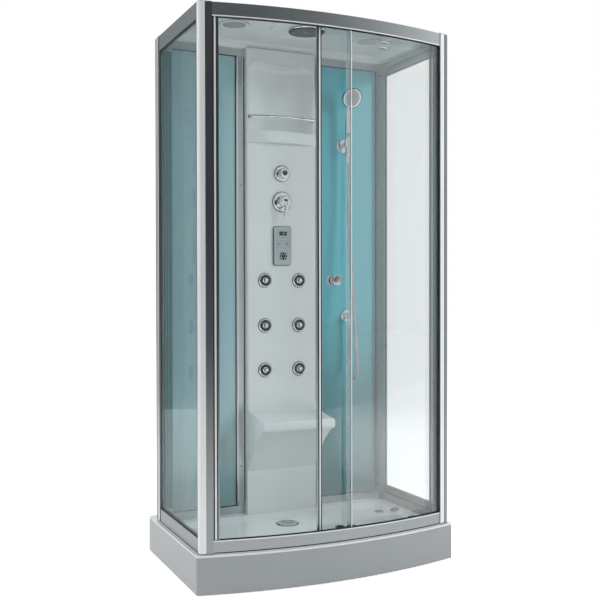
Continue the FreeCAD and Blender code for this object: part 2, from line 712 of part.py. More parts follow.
def bottomRail():
    """Front bottom rail: glass groove above, guide lip behind."""
    face, body, lip = "arcRadius", "arcRadius - railBody", "arcRadius - railLip"
    groove = "frontGlassSetback - grooveFree"
    back = "frontGlassSetback + glassThick + grooveFree"
    track = "bottomRailTop - trackRise"
    outline = [(face, "trayHeight"), (face, "bottomRailTop - 1.5"), (face + " - 1.5", "bottomRailTop"),
               ("arcRadius - (%s)" % groove, "bottomRailTop"),
               ("arcRadius - (%s)" % groove, "bottomRailTop - grooveDepth"),
               ("arcRadius - (%s)" % back, "bottomRailTop - grooveDepth"),
               ("arcRadius - (%s)" % back, "bottomRailTop"), (body, "bottomRailTop"),
               (body, track + " + 2 * trackThick"), (lip, track + " + 2 * trackThick"),
               (lip, track + " + trackThick - trackLip"),
               (lip + " + trackEdge", track + " + trackThick - trackLip"),
               (lip + " + trackEdge", track + " + trackThick"),
               (body, track + " + trackThick"), (body, "trayHeight")]
    return curvedRail("FrontRailBottom", outline)


def sideRail(name, sign, low, mouth, ledge):
    """Side rail between the posts; mouth is the open edge that takes the glass."""
    side = "%d * " % sign
    up = mouth != low
    deep = "%s %s grooveDepth" % (mouth, "-" if up else "+")
    step = "%s %s 26" % (mouth, "-" if up else "+")
    outline = [("frameHalf", ledge), ("frameHalf", mouth),
               ("glassOuter + grooveFree", mouth), ("glassOuter + grooveFree", deep),
               ("glassInner - grooveFree", deep), ("glassInner - grooveFree", mouth),
               ("frameHalf - sideRailStep", mouth), ("frameHalf - sideRailStep", step),
               ("sideRailInner", step)]
    if up:
        outline += [("sideRailInner", ledge)]
    else:
        outline += [("sideRailInner", "roofSeat"), ("frameHalf - roofInset", "roofSeat"),
                    ("frameHalf - roofInset", ledge)]
    outline = [(side + "(%s)" % across, along) for across, along in outline]
    body = doc.addObject("PartDesign::Body", name + "Profile")
    face = sketch(body, name + "Outline", "XZ_Plane", outline)
    pad = body.newObject("PartDesign::Pad", name + "Pad")
    pad.Profile = face
    pad.Reversed = True
    pad.setExpression("Length", aliasText("backPostFront + backPostLip - flankEnd"))
    bind(body, y="flankEnd")
    doc.recompute()
    start = "-legOuter" if sign < 0 else "legOuter - 60"
    notches = [box(name + "NotchFront", start, "flankEnd - 1", "trayHeight - 1", "60",
                   "legEnd - flankEnd + 1", "frameHeight + 2"),
               box(name + "NotchBack", start, "backPostFront", "trayHeight - 1", "60",
                   "backPostLip + 1", "frameHeight + 2")]
    return cut(name, body, notches)


def sideRails():
    for sign, label in ((-1, "left"), (1, "right")):
        word = label.capitalize()
        node(sideRail("SideRailTop" + word, sign, "frameTop - sideTopHeight",
                      "frameTop - sideTopHeight", "frameTop"), "side_rail_top_" + label)
        node(sideRail("SideRailBottom" + word, sign, "trayHeight",
                      "trayHeight + sideBottomHeight", "trayHeight"), "side_rail_bottom_" + label)


def backRails():
    """Rails that carry the wall panels and the column, grooved for the panels."""
    panelPlay = "panelThick + 2 * grooveFree"
    front = "wallFace - backRailProud"
    lower = box("BackRailBottomBar", "-postInner", front, "trayHeight", "2 * postInner",
                "frameBack - wallFace + backRailProud", "backBottomHeight")
    lowerGroove = box("BackRailBottomGroove", "-postInner - 1", "wallFace - grooveFree",
                      "wallLow - panelTuck", "2 * postInner + 2", panelPlay, "2 * panelTuck")
    upper = box("BackRailTopBar", "-postInner", front, "wallHigh", "2 * postInner",
                "frameBack - wallFace + backRailProud", "backTopHeight")
    upperGroove = box("BackRailTopGroove", "-postInner - 1", "wallFace - grooveFree",
                      "wallHigh - panelTuck", "2 * postInner + 2", panelPlay, "2 * panelTuck")
    gap = box("ColumnGap", "-columnHalf - seatGap", "wallFace - 50", "trayHeight - 1",
              "2 * (columnHalf + seatGap)", "columnBack - wallFace + 50 + seatGap",
              "frameHeight + 2 - roofLedge")
    node(cut("BackRailBottom", lower, [lowerGroove, gap]), "back_rail_bottom")
    node(cut("BackRailTop", upper, [upperGroove, gap, roofPocket]), "back_rail_top")


frontPosts()
for sign, label in ((-1, "left"), (1, "right")):
    whole = backPost("BackPost%sWhole" % label.capitalize(), sign)
    node(cut("BackPost" + label.capitalize(), whole, [roofPocket]), "back_post_" + label)
node(topRail(), "front_rail_top")
node(bottomRail(), "front_rail_bottom")
sideRails()
backRails()

# glass, panels


def sideGlass(name, sign):
    x = "glassInner" if sign > 0 else "-glassOuter"
    low = "trayHeight + sideBottomHeight - grooveDepth"
    high = "frameTop - sideTopHeight + grooveDepth - 2 * grooveFree"
    return box(name, x, "flankEnd + seatGap", low, "glassThick",
               "backPostFront + backPostLip - flankEnd - 2 * seatGap", high + " - (%s)" % low)


def frontGlass():
    band = arcBand("FrontGlassBand", "frontGlassRadius", "frontGlassRadius - glassThick",
                   "bottomRailTop - grooveDepth", "topRailZ - bottomRailTop + 2 * grooveDepth - 2",
                   "glassEdgeAngle", "14")
    window = box("FrontGlassWindow", "0", "frontApex - 10", "trayHeight", "postInner - seatGap",
                 "200", "frameHeight")
    return common("FrontGlass", [band, window])


def frontSeals():
    """The lip on the fixed glass's free edge and the magnet strip on the strike jamb."""
    width = "edgeSealWidth / frontGlassRadius * 180 / pi"
    tall = "topRailZ - bottomRailTop - 2"
    lip = arcBand("GlassLip", "frontGlassRadius + 1.2", "frontGlassRadius - glassThick - 1.2",
                  "bottomRailTop + 1", tall, "glassEdgeAngle - " + width, width)
    fin = arcBand("GlassFin", "frontGlassRadius - glassThick - 1.2",
                  "doorRadius + 1.3", "bottomRailTop + 1", tall,
                  "glassEdgeAngle - " + width, "0.06")
    magnet = common("StrikeMagnet", [
        arcBand("StrikeMagnetBand", "doorRadius + 1", "doorRadius - glassThick - 1",
                "bottomRailTop + 1", tall, "strikeAngle - 0.2", "0.34"),
        box("StrikeMagnetWindow", "-postInner + jambWidth + seatGap", "frontApex", "trayHeight",
            "20", "150", "frameHeight")])
    whole = doc.addObject("Part::Compound", "FrontSeals")
    whole.Links = [joined("GlassSeal", [lip, fin]), magnet]
    return whole


node(sideGlass("SideGlassLeft", -1), "side_glass_left")
node(sideGlass("SideGlassRight", 1), "side_glass_right")
node(frontGlass(), "front_glass")
node(frontSeals(), "front_seals")

for sign, label in ((-1, "left"), (1, "right")):
    start = "-postInner" if sign < 0 else "columnHalf + 9"
    node(box("BackPanel" + label.capitalize(), start, "wallFace", "wallLow - panelTuck + 1",
             "postInner - columnHalf - 9", "panelThick", "wallHigh - wallLow + 2 * panelTuck - 2"),
         "back_panel_" + label)


def columnTrims():
    """Strips that cover the joints between the column and the wall panels."""
    strips = []
    for sign in (-1, 1):
        side = "%d * " % sign
        outline = [("columnHalf + seatGap", "wallFace - trimProud + 3"),
                   ("columnHalf + 4", "wallFace - trimProud"),
                   ("columnHalf + trimWidth - 6", "wallFace - trimProud"),
                   ("columnHalf + trimWidth", "wallFace - 5"),
                   ("columnHalf + trimWidth", "wallFace - seatGap"),
                   ("columnHalf + 8", "wallFace - seatGap"),
                   ("columnHalf + 8", "wallFace + panelThick + 6"),
                   ("columnHalf + seatGap", "wallFace + panelThick + 6")]
        outline = [(side + "(%s)" % across, along) for across, along in outline]
        strips.append(extrusion("ColumnTrim" + ("Left" if sign < 0 else "Right"), "XY_Plane", outline,
                                "wallHigh - wallLow", z="wallLow"))
    whole = doc.addObject("Part::Compound", "ColumnTrims")
    whole.Links = strips
    return whole


node(columnTrims(), "column_trims")

# column


def columnSection(inset):
    """The column's side view: foot, brace curve, seat, back rest; inset gives the inner face."""
    face, back = size("columnFace"), size("columnBack") + inset
    low, high = size("trayHeight") - inset, size("roofSeat") - inset
    front = face - size("seatDepth")
    lipTop, lipLow = size("seatFront"), size("seatFront") - size("seatLip")
    foot, rear, bend = size("braceFoot"), size("seatRear"), 45.0

    def at(y, z):
        return vector(0, y, z)
    points = [at(back, low), at(face + inset, low), at(face + inset, foot - inset)]
    edges = [Part.makeLine(points[0], points[1]), Part.makeLine(points[1], points[2])]
    braceEnd = at(front + 30 + inset, lipLow + inset)
    brace = Part.Arc(points[2], at(front + 118 + inset, lipLow - 78 + 0.2 * inset), braceEnd)
    edges.append(brace.toShape())
    lipFoot = at(front + 12 + inset, lipLow + inset)
    edges.append(Part.makeLine(braceEnd, lipFoot))
    nose = [at(front + 3 + inset, lipLow + 9 + 0.5 * inset), at(front + inset, lipLow + 20)]
    edges.append(Part.Arc(lipFoot, nose[0] + vector(0, 0.4, -0.6), nose[1]).toShape())
    brow = at(front + 2 + inset, lipTop - 12 - 0.5 * inset)
    edges.append(Part.makeLine(nose[1], brow))
    seatStart = at(front + 22 + inset, lipTop - inset)
    edges.append(Part.Arc(brow, at(front + 8 + inset, lipTop - 3 - inset), seatStart).toShape())
    seatEnd = at(face - bend + inset, rear - 4 - inset)
    edges.append(Part.makeLine(seatStart, seatEnd))
    rest = at(face + inset, rear + bend - inset)
    edges.append(Part.Arc(seatEnd, at(face - 0.27 * bend + inset, rear + 0.27 * bend - inset),
                          rest).toShape())
    edges.append(Part.makeLine(rest, at(face + inset, high)))
    edges.append(Part.makeLine(at(face + inset, high), at(back, high)))
    edges.append(Part.makeLine(at(back, high), points[0]))
    return Part.Face(Part.Wire(edges))


def slab(section, half):
    block = section.copy()
    block.translate(vector(-half, 0, 0))
    return block.extrude(vector(2 * half, 0, 0))


def nichePocket(grow):
    """The scooped recess above the shelf, or its skin when it is grown by the wall."""
    half, deep = size("nicheHalf"), size("nicheDepth")
    top, low = size("nicheTop") + grow, size("shelfTop") - grow
    radius = (half ** 2 + deep ** 2) / (2 * deep)
    scoop = Part.makeCylinder(radius + grow, top - low,
                              vector(0, size("columnFace") + deep - radius, low))
    rim = [edge for edge in scoop.Edges if near(edge.BoundBox.ZMin, top)]
    return scoop.makeFillet(size("nicheRound") + grow, rim)


def shelfLip(shrink):
    """The shelf: a rounded bow that stands in front of the column."""
    half = size("columnHalf") - shrink
    face, deep = size("columnFace") + shrink, size("shelfDeep")
    top, low = size("shelfTop") - shrink, size("shelfTop") - size("shelfTall") + shrink
    plan = Part.Wire([Part.makeLine(vector(half, face, low), vector(-half, face, low)),
                      Part.Arc(vector(-half, face, low), vector(0, face - deep, low),
                               vector(half, face, low)).toShape()])
    return Part.Face(plan).extrude(vector(0, 0, top - low))


def columnCuts():
    """Openings in the column for what is mounted on it."""
    face = size("columnFace") - 20
    places = [(x, z, size("jetBarrel") + 0.3) for x in (-size("jetSide"), size("jetSide"))
              for z in (size("jetTop"), size("jetMiddle"), size("jetLow"))]
    places += [(0, size("diverterZ"), size("stemRadius") + 4), (0, size("mixerZ"), size("stemRadius") + 8)]
    holes = [Part.makeCylinder(radius, 100, vector(x, face, z), yAxis) for x, z, radius in places]
    inner = size("panelHalf") - 8
    holes.append(Part.makeBox(2 * inner, 60, size("panelHigh") - size("panelLow") - 16,
                              vector(-inner, face, size("panelLow") + 8)))
    return holes


def column():
    wall = size("columnWall")
    half = size("columnHalf")
    outside = slab(columnSection(0.0), half)
    lip = shelfLip(0.0)
    sides = [edge for edge in outside.Edges
             if near(edge.BoundBox.XLength, 0) and edge.BoundBox.YMin < size("columnFace") - 1]
    try:
        outside = outside.makeFillet(9, sides)
    except Part.OCCError:
        print("column: seat sides stay square")
    outside = outside.fuse(lip).cut(nichePocket(0.0))
    inside = slab(columnSection(wall), half - wall).fuse(shelfLip(wall)).cut(nichePocket(wall))
    holes = columnCuts()
    return outside.cut(inside).cut(holes[0].fuse(holes[1:])).removeSplitter()


node(solid("Column", column()), "column")


def towelRail():
    """A bowed tube on two short posts, in front of the recess."""
    face, z, half = size("columnFace"), size("towelZ"), size("towelHalf")
    stand, bow, radius = size("towelStand"), size("towelBow"), size("towelRadius")
    left, right = vector(-half, face - stand, z), vector(half, face - stand, z)
    path = Part.Wire([Part.Arc(left, vector(0, face - stand - bow, z), right).toShape()])
    start = path.Edges[0].tangentAt(path.Edges[0].FirstParameter)
    ring = Part.Wire([Part.makeCircle(radius, left, start)])
    bar = path.makePipeShell([ring], True, False)
    posts = []
    for end in (left, right):
        posts.append(Part.makeCylinder(radius, stand, vector(end.x, face - stand, z), yAxis))
        posts.append(Part.makeSphere(radius, end))
        posts.append(Part.makeCylinder(1.7 * radius, 4, vector(end.x, face - 4, z), yAxis))
    return bar.fuse(posts).removeSplitter()


node(solid("TowelRail", towelRail()), "towel_rail")

# jets


def jetHousing(x, z):
    """Flange, barrel and spherical socket of one jet."""
    face = size("columnFace")
    flange, barrel, ball = size("jetFlange"), size("jetBarrel"), size("jetBall")
    centre = vector(x, face + 2, z)
    ring = Part.makeCylinder(flange, size("jetProud"), vector(x, face, z), -yAxis)
    front = [edge for edge in ring.Edges if near(edge.BoundBox.YMax, face - size("jetProud"))]
    ring = ring.makeFillet(0.6 * size("jetProud"), front)
    tubeBody = Part.makeCylinder(barrel, size("jetDeep"), vector(x, face, z), yAxis)
    tail = Part.makeCylinder(8, 16, vector(x, face + size("jetDeep"), z), yAxis)
    socket = Part.makeSphere(ball + size("jetBallFree"), centre)
    mouth = Part.makeCone(ball * 0.84, flange - 8, 7, vector(x, face - size("jetProud") + 6.9, z), -yAxis)
    bore = Part.makeCylinder(5, 60, centre, yAxis)
    return ring.fuse([tubeBody, tail]).cut(socket.fuse([mouth, bore]))


def jetNozzle(x, z):
    """Ball with a short spout and five spray holes."""
    ball, tip = size("jetBall"), size("jetTip")
    centre = vector(x, size("columnFace") + 2, z)
    body = Part.makeSphere(ball, centre)
    spout = Part.makeCone(tip + 2, tip, size("jetTipReach") - 12, centre + vector(0, -12, 0), -yAxis)
    body = body.fuse(spout)
    bore = Part.makeCylinder(4, ball, centre, yAxis)
    holes = [Part.makeCylinder(2.2, 2 * ball, centre, -yAxis)]
    return body.cut(bore.fuse(holes))


jetPlaces = [(x, z) for z in (size("jetTop"), size("jetMiddle"), size("jetLow"))
             for x in (-size("jetSide"), size("jetSide"))]
housings = [jetHousing(x, z) for x, z in jetPlaces]
node(solid("JetHousings", Part.Compound(housings)), "jet_housings")
for number, (x, z) in enumerate(jetPlaces, start=1):
    node(solid("JetNozzle%d" % number, jetNozzle(x, z)), "jet_nozzle_%d" % number)

# control panel


def roundedPlate(half, low, high, front, thick, corner):
    """An upright plate on the column with rounded corners in front view."""
    body = Part.makeBox(2 * half, thick, high - low, vector(-half, front, low))
    corners = [edge for edge in body.Edges if near(edge.BoundBox.YLength, thick)]
    return body.makeFillet(corner, corners)


def controlPanel():
    face, front = size("columnFace"), size("panelFace")
    half, low, high = size("panelHalf"), size("panelLow"), size("panelHigh")
    case = roundedPlate(half, low, high, front, size("panelProud"), size("panelRound"))
    rim = [edge for edge in case.Edges if near(edge.BoundBox.YMax, front)]
    case = case.makeFillet(3, rim)
    back = roundedPlate(half - 8.3, low + 8.3, high - 8.3, face, 28, 4)
    window = roundedPlate(half - 11, high - 52, high - 14, front - 1, 3, 3)
    pockets = [Part.makeCylinder(size("padRadius") + size("keyFree"), size("keyPocket") + 1,
                                 vector(0, front - 1, size("padZ")), yAxis)]
    for sign in (-1, 1):
        pockets.append(keyBlock(sign, size("keyFree"), front - 1, size("keyPocket") + 1))
    dimples = [Part.makeCylinder(4, 1, vector(x, front - 0.2, size("keyZ") - 18), yAxis)
               for x in (-30, 30)]
    return case.fuse(back).cut(window.fuse(pockets)).cut(dimples[0].fuse(dimples[1:]))


def keyBlock(sign, grow, front, thick):
    """An oval key, or its pocket when it is grown."""
    half, x, z = size("keyHalf"), sign * size("keySide"), size("keyZ")
    radius = 5 + grow
    ends = [Part.makeCylinder(radius, thick, vector(x + side * (half - 5), front, z), yAxis)
            for side in (-1, 1)]
    middle = Part.makeBox(2 * (half - 5), thick, 2 * radius, vector(x - half + 5, front, z - radius))
    return middle.fuse(ends).removeSplitter()


def keyDepth():
    return size("keyPocket") + size("keyProud") - size("keyTravel") - size("keyFree")


def navPad():
    """Round pad with a dished face and a raised centre."""
    front = size("panelFace") - size("keyProud")
    radius, z = size("padRadius"), size("padZ")
    pad = Part.makeCylinder(radius, keyDepth(), vector(0, front, z), yAxis)
    rim = [edge for edge in pad.Edges if near(edge.BoundBox.YMax, front)]
    pad = pad.makeFillet(1.2, rim)
    groove = Part.makeCylinder(0.44 * radius, 0.9, vector(0, front - 0.1, z), yAxis)
    core = Part.makeCylinder(0.36 * radius, 3, vector(0, front - 0.2, z), yAxis)
    return pad.cut(groove).fuse(core)


node(solid("ControlPanel", controlPanel()), "control_panel")
node(solid("NavPad", navPad()), "nav_pad")
for sign, label in ((-1, "left"), (1, "right")):
    key = keyBlock(sign, 0.0, size("panelFace") - size("keyProud"), keyDepth())
    node(solid("Key" + label.capitalize(), key), "key_" + label)

# valves


def rosette(radius, x, y, z, thick, spindle=0.0):
    """A domed wall disc facing the front, with its spindle."""
    disc = Part.makeCylinder(radius, thick, vector(x, y, z), -yAxis)
    rim = [edge for edge in disc.Edges if near(edge.BoundBox.YMax, y - thick)]
    disc = disc.makeFillet(0.7 * thick, rim)
    if spindle:
        disc = disc.fuse(Part.makeCylinder(size("stemRadius"), spindle, vector(x, y, z), -yAxis))
    return disc


def valveRosettes():
    face, thick = size("columnFace"), size("roseThick")
    upper = rosette(size("diverterRose"), 0, face, size("diverterZ"), thick,
                    thick + size("diverterReach") - 8)
    lower = rosette(size("mixerRose"), 0, face, size("mixerZ"), thick, thick + 14)
    return Part.Compound([upper, lower])


def diverterKnob():
    """Fluted knob on the upper spindle."""
    y = size("columnFace") - size("roseThick") - size("seatGap")
    z, radius, reach = size("diverterZ"), size("diverterGrip"), size("diverterReach")
    knob = Part.makeCone(radius + 3, radius, reach, vector(0, y, z), -yAxis)
    rim = [edge for edge in knob.Edges if near(edge.BoundBox.YMax, y - reach)]
    knob = knob.makeFillet(4, rim)
    flutes = []
    for number in range(10):
        flute = Part.makeCylinder(4, 2 * reach, vector(radius + 5.4, y - 6, z), -yAxis)
        flute.rotate(vector(0, y, z), yAxis, 36 * number)
        flutes.append(flute)
    bore = Part.makeCylinder(size("stemRadius") + size("stemFree"), reach - 7, vector(0, y, z), -yAxis)
    return knob.cut(flutes[0].fuse(flutes[1:])).cut(bore)


def mixerBody():
    """Turned body with a slot in front for the lever's root."""
    y = size("columnFace") - size("roseThick") - size("seatGap")
    z, radius, reach = size("mixerZ"), size("mixerRadius"), size("mixerReach")
    body = Part.makeCone(radius + 4, radius, reach, vector(0, y, z), -yAxis)
    rim = [edge for edge in body.Edges if near(edge.BoundBox.YMax, y - reach)]
    body = body.makeFillet(7, rim)
    bore = Part.makeCylinder(size("stemRadius") + size("stemFree"), 14.5, vector(0, y, z), -yAxis)
    slot = Part.makeBox(17, 60, 80, vector(-8.5, y - reach + 18 - 60, z - 72))
    pin = Part.makeCylinder(size("leverPin"), 40, vector(-20, y - reach + 9, z - 4), xAxis)
    return body.cut(bore).cut(slot).fuse(pin)


def mixerLever():
    """Flat lever that hangs down and widens to a rounded end."""
    y = size("columnFace") - size("roseThick") - size("seatGap") - size("mixerReach") + 9
    z, drop = size("mixerZ") - 4, size("leverDrop") - 4
    root = Part.makeCylinder(8, 15.8, vector(-7.9, y, z), xAxis)
    sections = []
    for level, wide, thick, front in ((-drop + 6, 10.5, 3, -11), (-50, 9, 3.6, -12),
                                      (-26, 7.5, 5, -11), (-2, 7.5, 6, -4)):
        circle = Part.Ellipse(vector(0, y + front, z + level), wide, thick).toShape()
        sections.append(Part.Wire([circle]))
    blade = Part.makeLoft(sections, True, False)
    end = Part.makeSphere(1, origin)
    scale = FreeCAD.Matrix()
    scale.scale(10.5, 3.0, 6.0)
    end = end.transformGeometry(scale)
    end.translate(vector(0, y - 11, z - drop + 6))
    bore = Part.makeCylinder(size("leverPin") + size("stemFree"), 40, vector(-20, y, z), xAxis)
    return root.fuse([blade, end]).cut(bore)


node(solid("ValveRosettes", valveRosettes()), "valve_rosettes")
node(solid("DiverterKnob", diverterKnob()), "diverter_knob")
node(solid("MixerBody", mixerBody()), "mixer_body")
node(solid("MixerLever", mixerLever()), "mixer_lever")

# hand shower


def showerBracket():
    """Wall rosette with a neck that ends in a pivot knuckle."""
    x, z, wall = size("bracketX"), size("bracketZ"), size("wallFace")
    pivot = wall - size("pivotReach")
    rose = rosette(size("bracketRose"), x, wall, z, 7)
    neck = Part.makeCylinder(8, size("pivotReach") - 17, vector(x, wall - 4, z), -yAxis)
    tongue = Part.makeCylinder(5.8, size("pivotReach") - 8, vector(x, wall - 4, z), -yAxis)
    knuckle = Part.makeCylinder(9, 12, vector(x - 6, pivot, z), xAxis)
    bore = Part.makeCylinder(size("axleRadius") + size("stemFree"), 40, vector(x - 20, pivot, z), xAxis)
    return rose.fuse([neck, tongue, knuckle]).cut(bore)


def showerCradle():
    """Open clip for the handle, with two ears and the pivot pin."""
    x, z, wall = size("bracketX"), size("bracketZ"), size("wallFace")
    pivot, axis = wall - size("pivotReach"), wall - size("handleReach")
    inner = size("handleRadius") + size("clipFree")
    outer = inner + size("clipWall")
    half = size("clipHalf")
    ring = Part.makeCylinder(outer, 2 * half, vector(x, axis, z - half))
    ears = []
    for start in (6.3, -10.3):
        ear = Part.makeCylinder(8, 4, vector(x + start, pivot, z), xAxis)
        arm = Part.makeBox(4, pivot - axis, 14, vector(x + start, axis, z - 7))
        ears += [ear, arm]
    pin = Part.makeCylinder(size("axleRadius"), 22, vector(x - 11, pivot, z), xAxis)
    hollow = Part.makeCylinder(inner, 3 * half, vector(x, axis, z - 1.5 * half))
    slot = Part.makeBox(13, 40, 3 * half, vector(x - 6.5, axis - 40, z - 1.5 * half))
    clear = Part.makeCylinder(9.4, 12.6, vector(x - 6.3, pivot, z), xAxis)
    return ring.fuse(ears).cut(clear).cut(hollow).cut(slot).fuse(pin)


def handShower():
    """Tapered handle that bends forward into a round spray head."""
    x, z = size("bracketX"), size("bracketZ")
    axis = size("wallFace") - size("handleReach")
    drop, rise, radius = size("handleDrop"), size("handleRise"), size("handleRadius")

    def ring(level, y, circle, tilt):
        facing = vector(0, -math.sin(math.radians(tilt)), math.cos(math.radians(tilt)))
        return Part.Wire([Part.makeCircle(circle, vector(x, axis + y, z + level), facing)])
    grip = Part.makeCylinder(radius, drop + 16, vector(x, axis, z - drop + 4))
    nut = Part.makeCone(9.5, radius + 1.2, 18, vector(x, axis, z - drop))
    neck = Part.makeLoft([ring(16, 0, radius, 0), ring(60, 0, radius + 1, 0),
                          ring(110, -1, radius + 0.5, 4), ring(rise - 18, -7, radius, 16),
                          ring(rise + 12, -21, radius + 2, 40)], True, False)
    tilt = math.radians(size("headTilt"))
    facing = vector(0, -math.cos(tilt), -math.sin(tilt))
    centre = vector(x, axis - 30, z + rise + 34)
    head, thick = size("headRadius"), size("headThick")
    disc = Part.makeCylinder(head, 0.45 * thick, centre + facing * (0.55 * thick) * 0.2, facing)
    dome = Part.makeCone(0.45 * head, head, 0.55 * thick, centre - facing * 0.44 * thick, facing)
    shower = grip.fuse([nut, neck, disc, dome])
    face = Part.makeCylinder(0.8 * head, 1.5, centre + facing * 0.56 * thick, facing)
    return shower.fuse(face)


def hosePath():
    """Straight runs joined by tangent arcs; the points follow the hose as it hangs."""
    x, z, wall = size("bracketX"), size("bracketZ"), size("wallFace")
    axis = wall - size("handleReach")
    outletX, outletZ = size("outletX"), size("outletZ")
    outletY = wall - size("outletReach")
    return [vector(x, axis, z - size("handleDrop")), vector(x, axis, z - 192),
            vector(x + 1, axis - 12, z - 372), vector(x, axis - 32, z - 557),
            vector(x + 1, axis - 54, z - 742), vector(x, axis - 72, z - 880),
            vector(x + 1, axis - 81, z - 967), vector(x + 3, axis - 81, z - 1020),
            vector(x + 7, axis - 34, z - 1048), vector(x + 12, outletY, z - 1020),
            vector(outletX - 3, outletY + 1, z - 952), vector(outletX - 1, outletY, z - 867),
            vector(outletX, outletY, outletZ - 26)]


def softTube(points, radius):
    """A tube along the points, every bend as wide as its runs allow."""
    edges, start = [], points[0]
    radii = []
    for before, corner, after in zip(points, points[1:], points[2:]):
        enter, leave = corner - before, after - corner
        turn = enter.getAngle(leave)
        reach = 0.45 * min(enter.Length, leave.Length)
        enter.normalize()
        leave.normalize()
        first, last = corner - enter * reach, corner + leave * reach
        bend = reach / math.tan(turn / 2)
        radii.append(round(bend))
        middle = (enter * -1 + leave)
        middle.normalize()
        centreReach = bend / math.cos(turn / 2)
        top = corner + middle * (centreReach - bend)
        edges += [Part.makeLine(start, first), Part.Arc(first, top, last).toShape()]
        start = last
    edges.append(Part.makeLine(start, points[-1]))
    length = sum(edge.Length for edge in edges)
    path = Part.Wire(edges)
    ring = Part.Wire([Part.makeCircle(radius, points[0], points[1] - points[0])])
    pipe = path.makePipeShell([ring], True, False)
    print("hose length", round(length), "radii", radii,
          "volume ratio", round(pipe.Volume / (math.pi * radius ** 2 * length), 4))
    return pipe


def hoseOutlet():
    """Wall rosette with an elbow that points down."""
    x, z, wall = size("outletX"), size("outletZ"), size("wallFace")
    reach = size("outletReach")
    rose = rosette(27, x, wall, z, 8)
    arm = Part.makeCylinder(11, reach, vector(x, wall, z), -yAxis)
    bend = Part.makeSphere(11, vector(x, wall - reach, z))
    down = Part.makeCylinder(11, 16, vector(x, wall - reach, z), -zAxis)
    nut = Part.makeCone(10.5, 9, 12, vector(x, wall - reach, z - 14), -zAxis)
    return rose.fuse([arm, bend, down, nut]).removeSplitter()


node(solid("ShowerBracket", showerBracket()), "shower_bracket")
node(solid("ShowerCradle", showerCradle()), "shower_cradle")
node(solid("HandShower", handShower()), "hand_shower")
node(solid("Hose", softTube(hosePath(), size("hoseRadius"))), "hose")
node(solid("HoseOutlet", hoseOutlet()), "hose_outlet")

# door


def doorAngle(along):
    """Angle from the middle of a place on the door, in mm from its closing edge."""
    return size("doorRestAngle") + math.degrees(along / size("doorRadius"))


def radialCylinder(radius, start, length, degrees, z):
    """A cylinder pointing inwards along the bow's radius, from the radius 'start'."""
    outer = arcPoint(start, degrees, z)
    inner = arcPoint(start - 100, degrees, z)
    return Part.makeCylinder(radius, length, outer, inner - outer)


wheelAngles = [doorAngle(size("wheelInset")), doorAngle(size("doorWidth") - size("wheelInset"))]
guideZ = size("bottomTrack") - size("trackLip") - size("wheelGroove") - 0.3


def doorGlass():
    sheet = arcBand("DoorSheet", "doorRadius", "doorRadius - glassThick", "doorBottom",
                    "doorTop - doorBottom", "doorRestAngle", "doorSpan")
    holes = [radialCylinder(size("holeRadius"), size("doorRadius") + 5, 20, turn, z)
             for turn in wheelAngles for z in (size("wheelZ"), guideZ)]
    holes.append(radialCylinder(size("holeRadius"), size("doorRadius") + 5, 20,
                                doorAngle(size("knobInset")), size("knobZ")))
    return cut("DoorGlass", sheet, [solid("DoorHoles", holes[0].fuse(holes[1:]))])


def doorProfiles():
    """Closing profile with its magnet strip, and the strip on the other edge."""
    wall, width = "doorProfileWall", "doorProfileWidth / doorRadius * 180 / pi"
    seal = "doorSealWidth / doorRadius * 180 / pi"
    rear = "rearSealWidth / doorRadius * 180 / pi"
    low, tall = "doorBottom + 1", "doorTop - doorBottom - 2"
    channel = arcBand("ClosingBand", "doorRadius + " + wall, "doorRadius - glassThick - " + wall,
                      low, tall, "doorRestAngle - 0.05", width)
    magnet = arcBand("ClosingMagnet", "doorRadius + 1", "doorRadius - glassThick - 1", low, tall,
                     "doorRestAngle - 0.05 - " + seal, seal)
    slot = arcBand("ClosingSlot", "doorRadius", "doorRadius - glassThick", "doorBottom",
                   "doorTop - doorBottom", "doorRestAngle", "doorSpan")
    tail = arcBand("RearBand", "doorRadius + 1.5", "doorRadius - glassThick - 1.5", low, tall,
                   "doorRestAngle + doorSpan + 0.04 - " + rear, rear)
    whole = joined("DoorStripsWhole", [channel, magnet])
    pieces = doc.addObject("Part::Compound", "DoorProfiles")
    pieces.Links = [cut("ClosingProfile", whole, [slot]), cut("RearStrip", tail, [slot])]
    return pieces


def doorKnob():
    """A turned knob outside, a flatter one inside, on one bolt through the glass."""
    turn, z = doorAngle(size("knobInset")), size("knobZ")
    face, radius, reach = size("doorRadius"), size("knobRadius"), size("knobReach")
    inside = face - size("glassThick")
    outer = radialCylinder(radius, face + reach, 13, turn, z)
    neck = radialCylinder(0.55 * radius, face + reach - 12, reach - 12, turn, z)
    seat = radialCylinder(0.8 * radius, face + 4, 4, turn, z)
    bolt = radialCylinder(size("holeRadius") - 0.4, face + 1, size("glassThick") + 2, turn, z)
    inner = radialCylinder(0.8 * radius, inside, 4, turn, z)
    innerNeck = radialCylinder(0.5 * radius, inside - 4, 10, turn, z)
    innerDisc = radialCylinder(0.95 * radius, inside - 13, 9, turn, z)
    knob = outer.fuse([neck, seat, bolt, inner, innerNeck, innerDisc])
    return knob.removeSplitter()


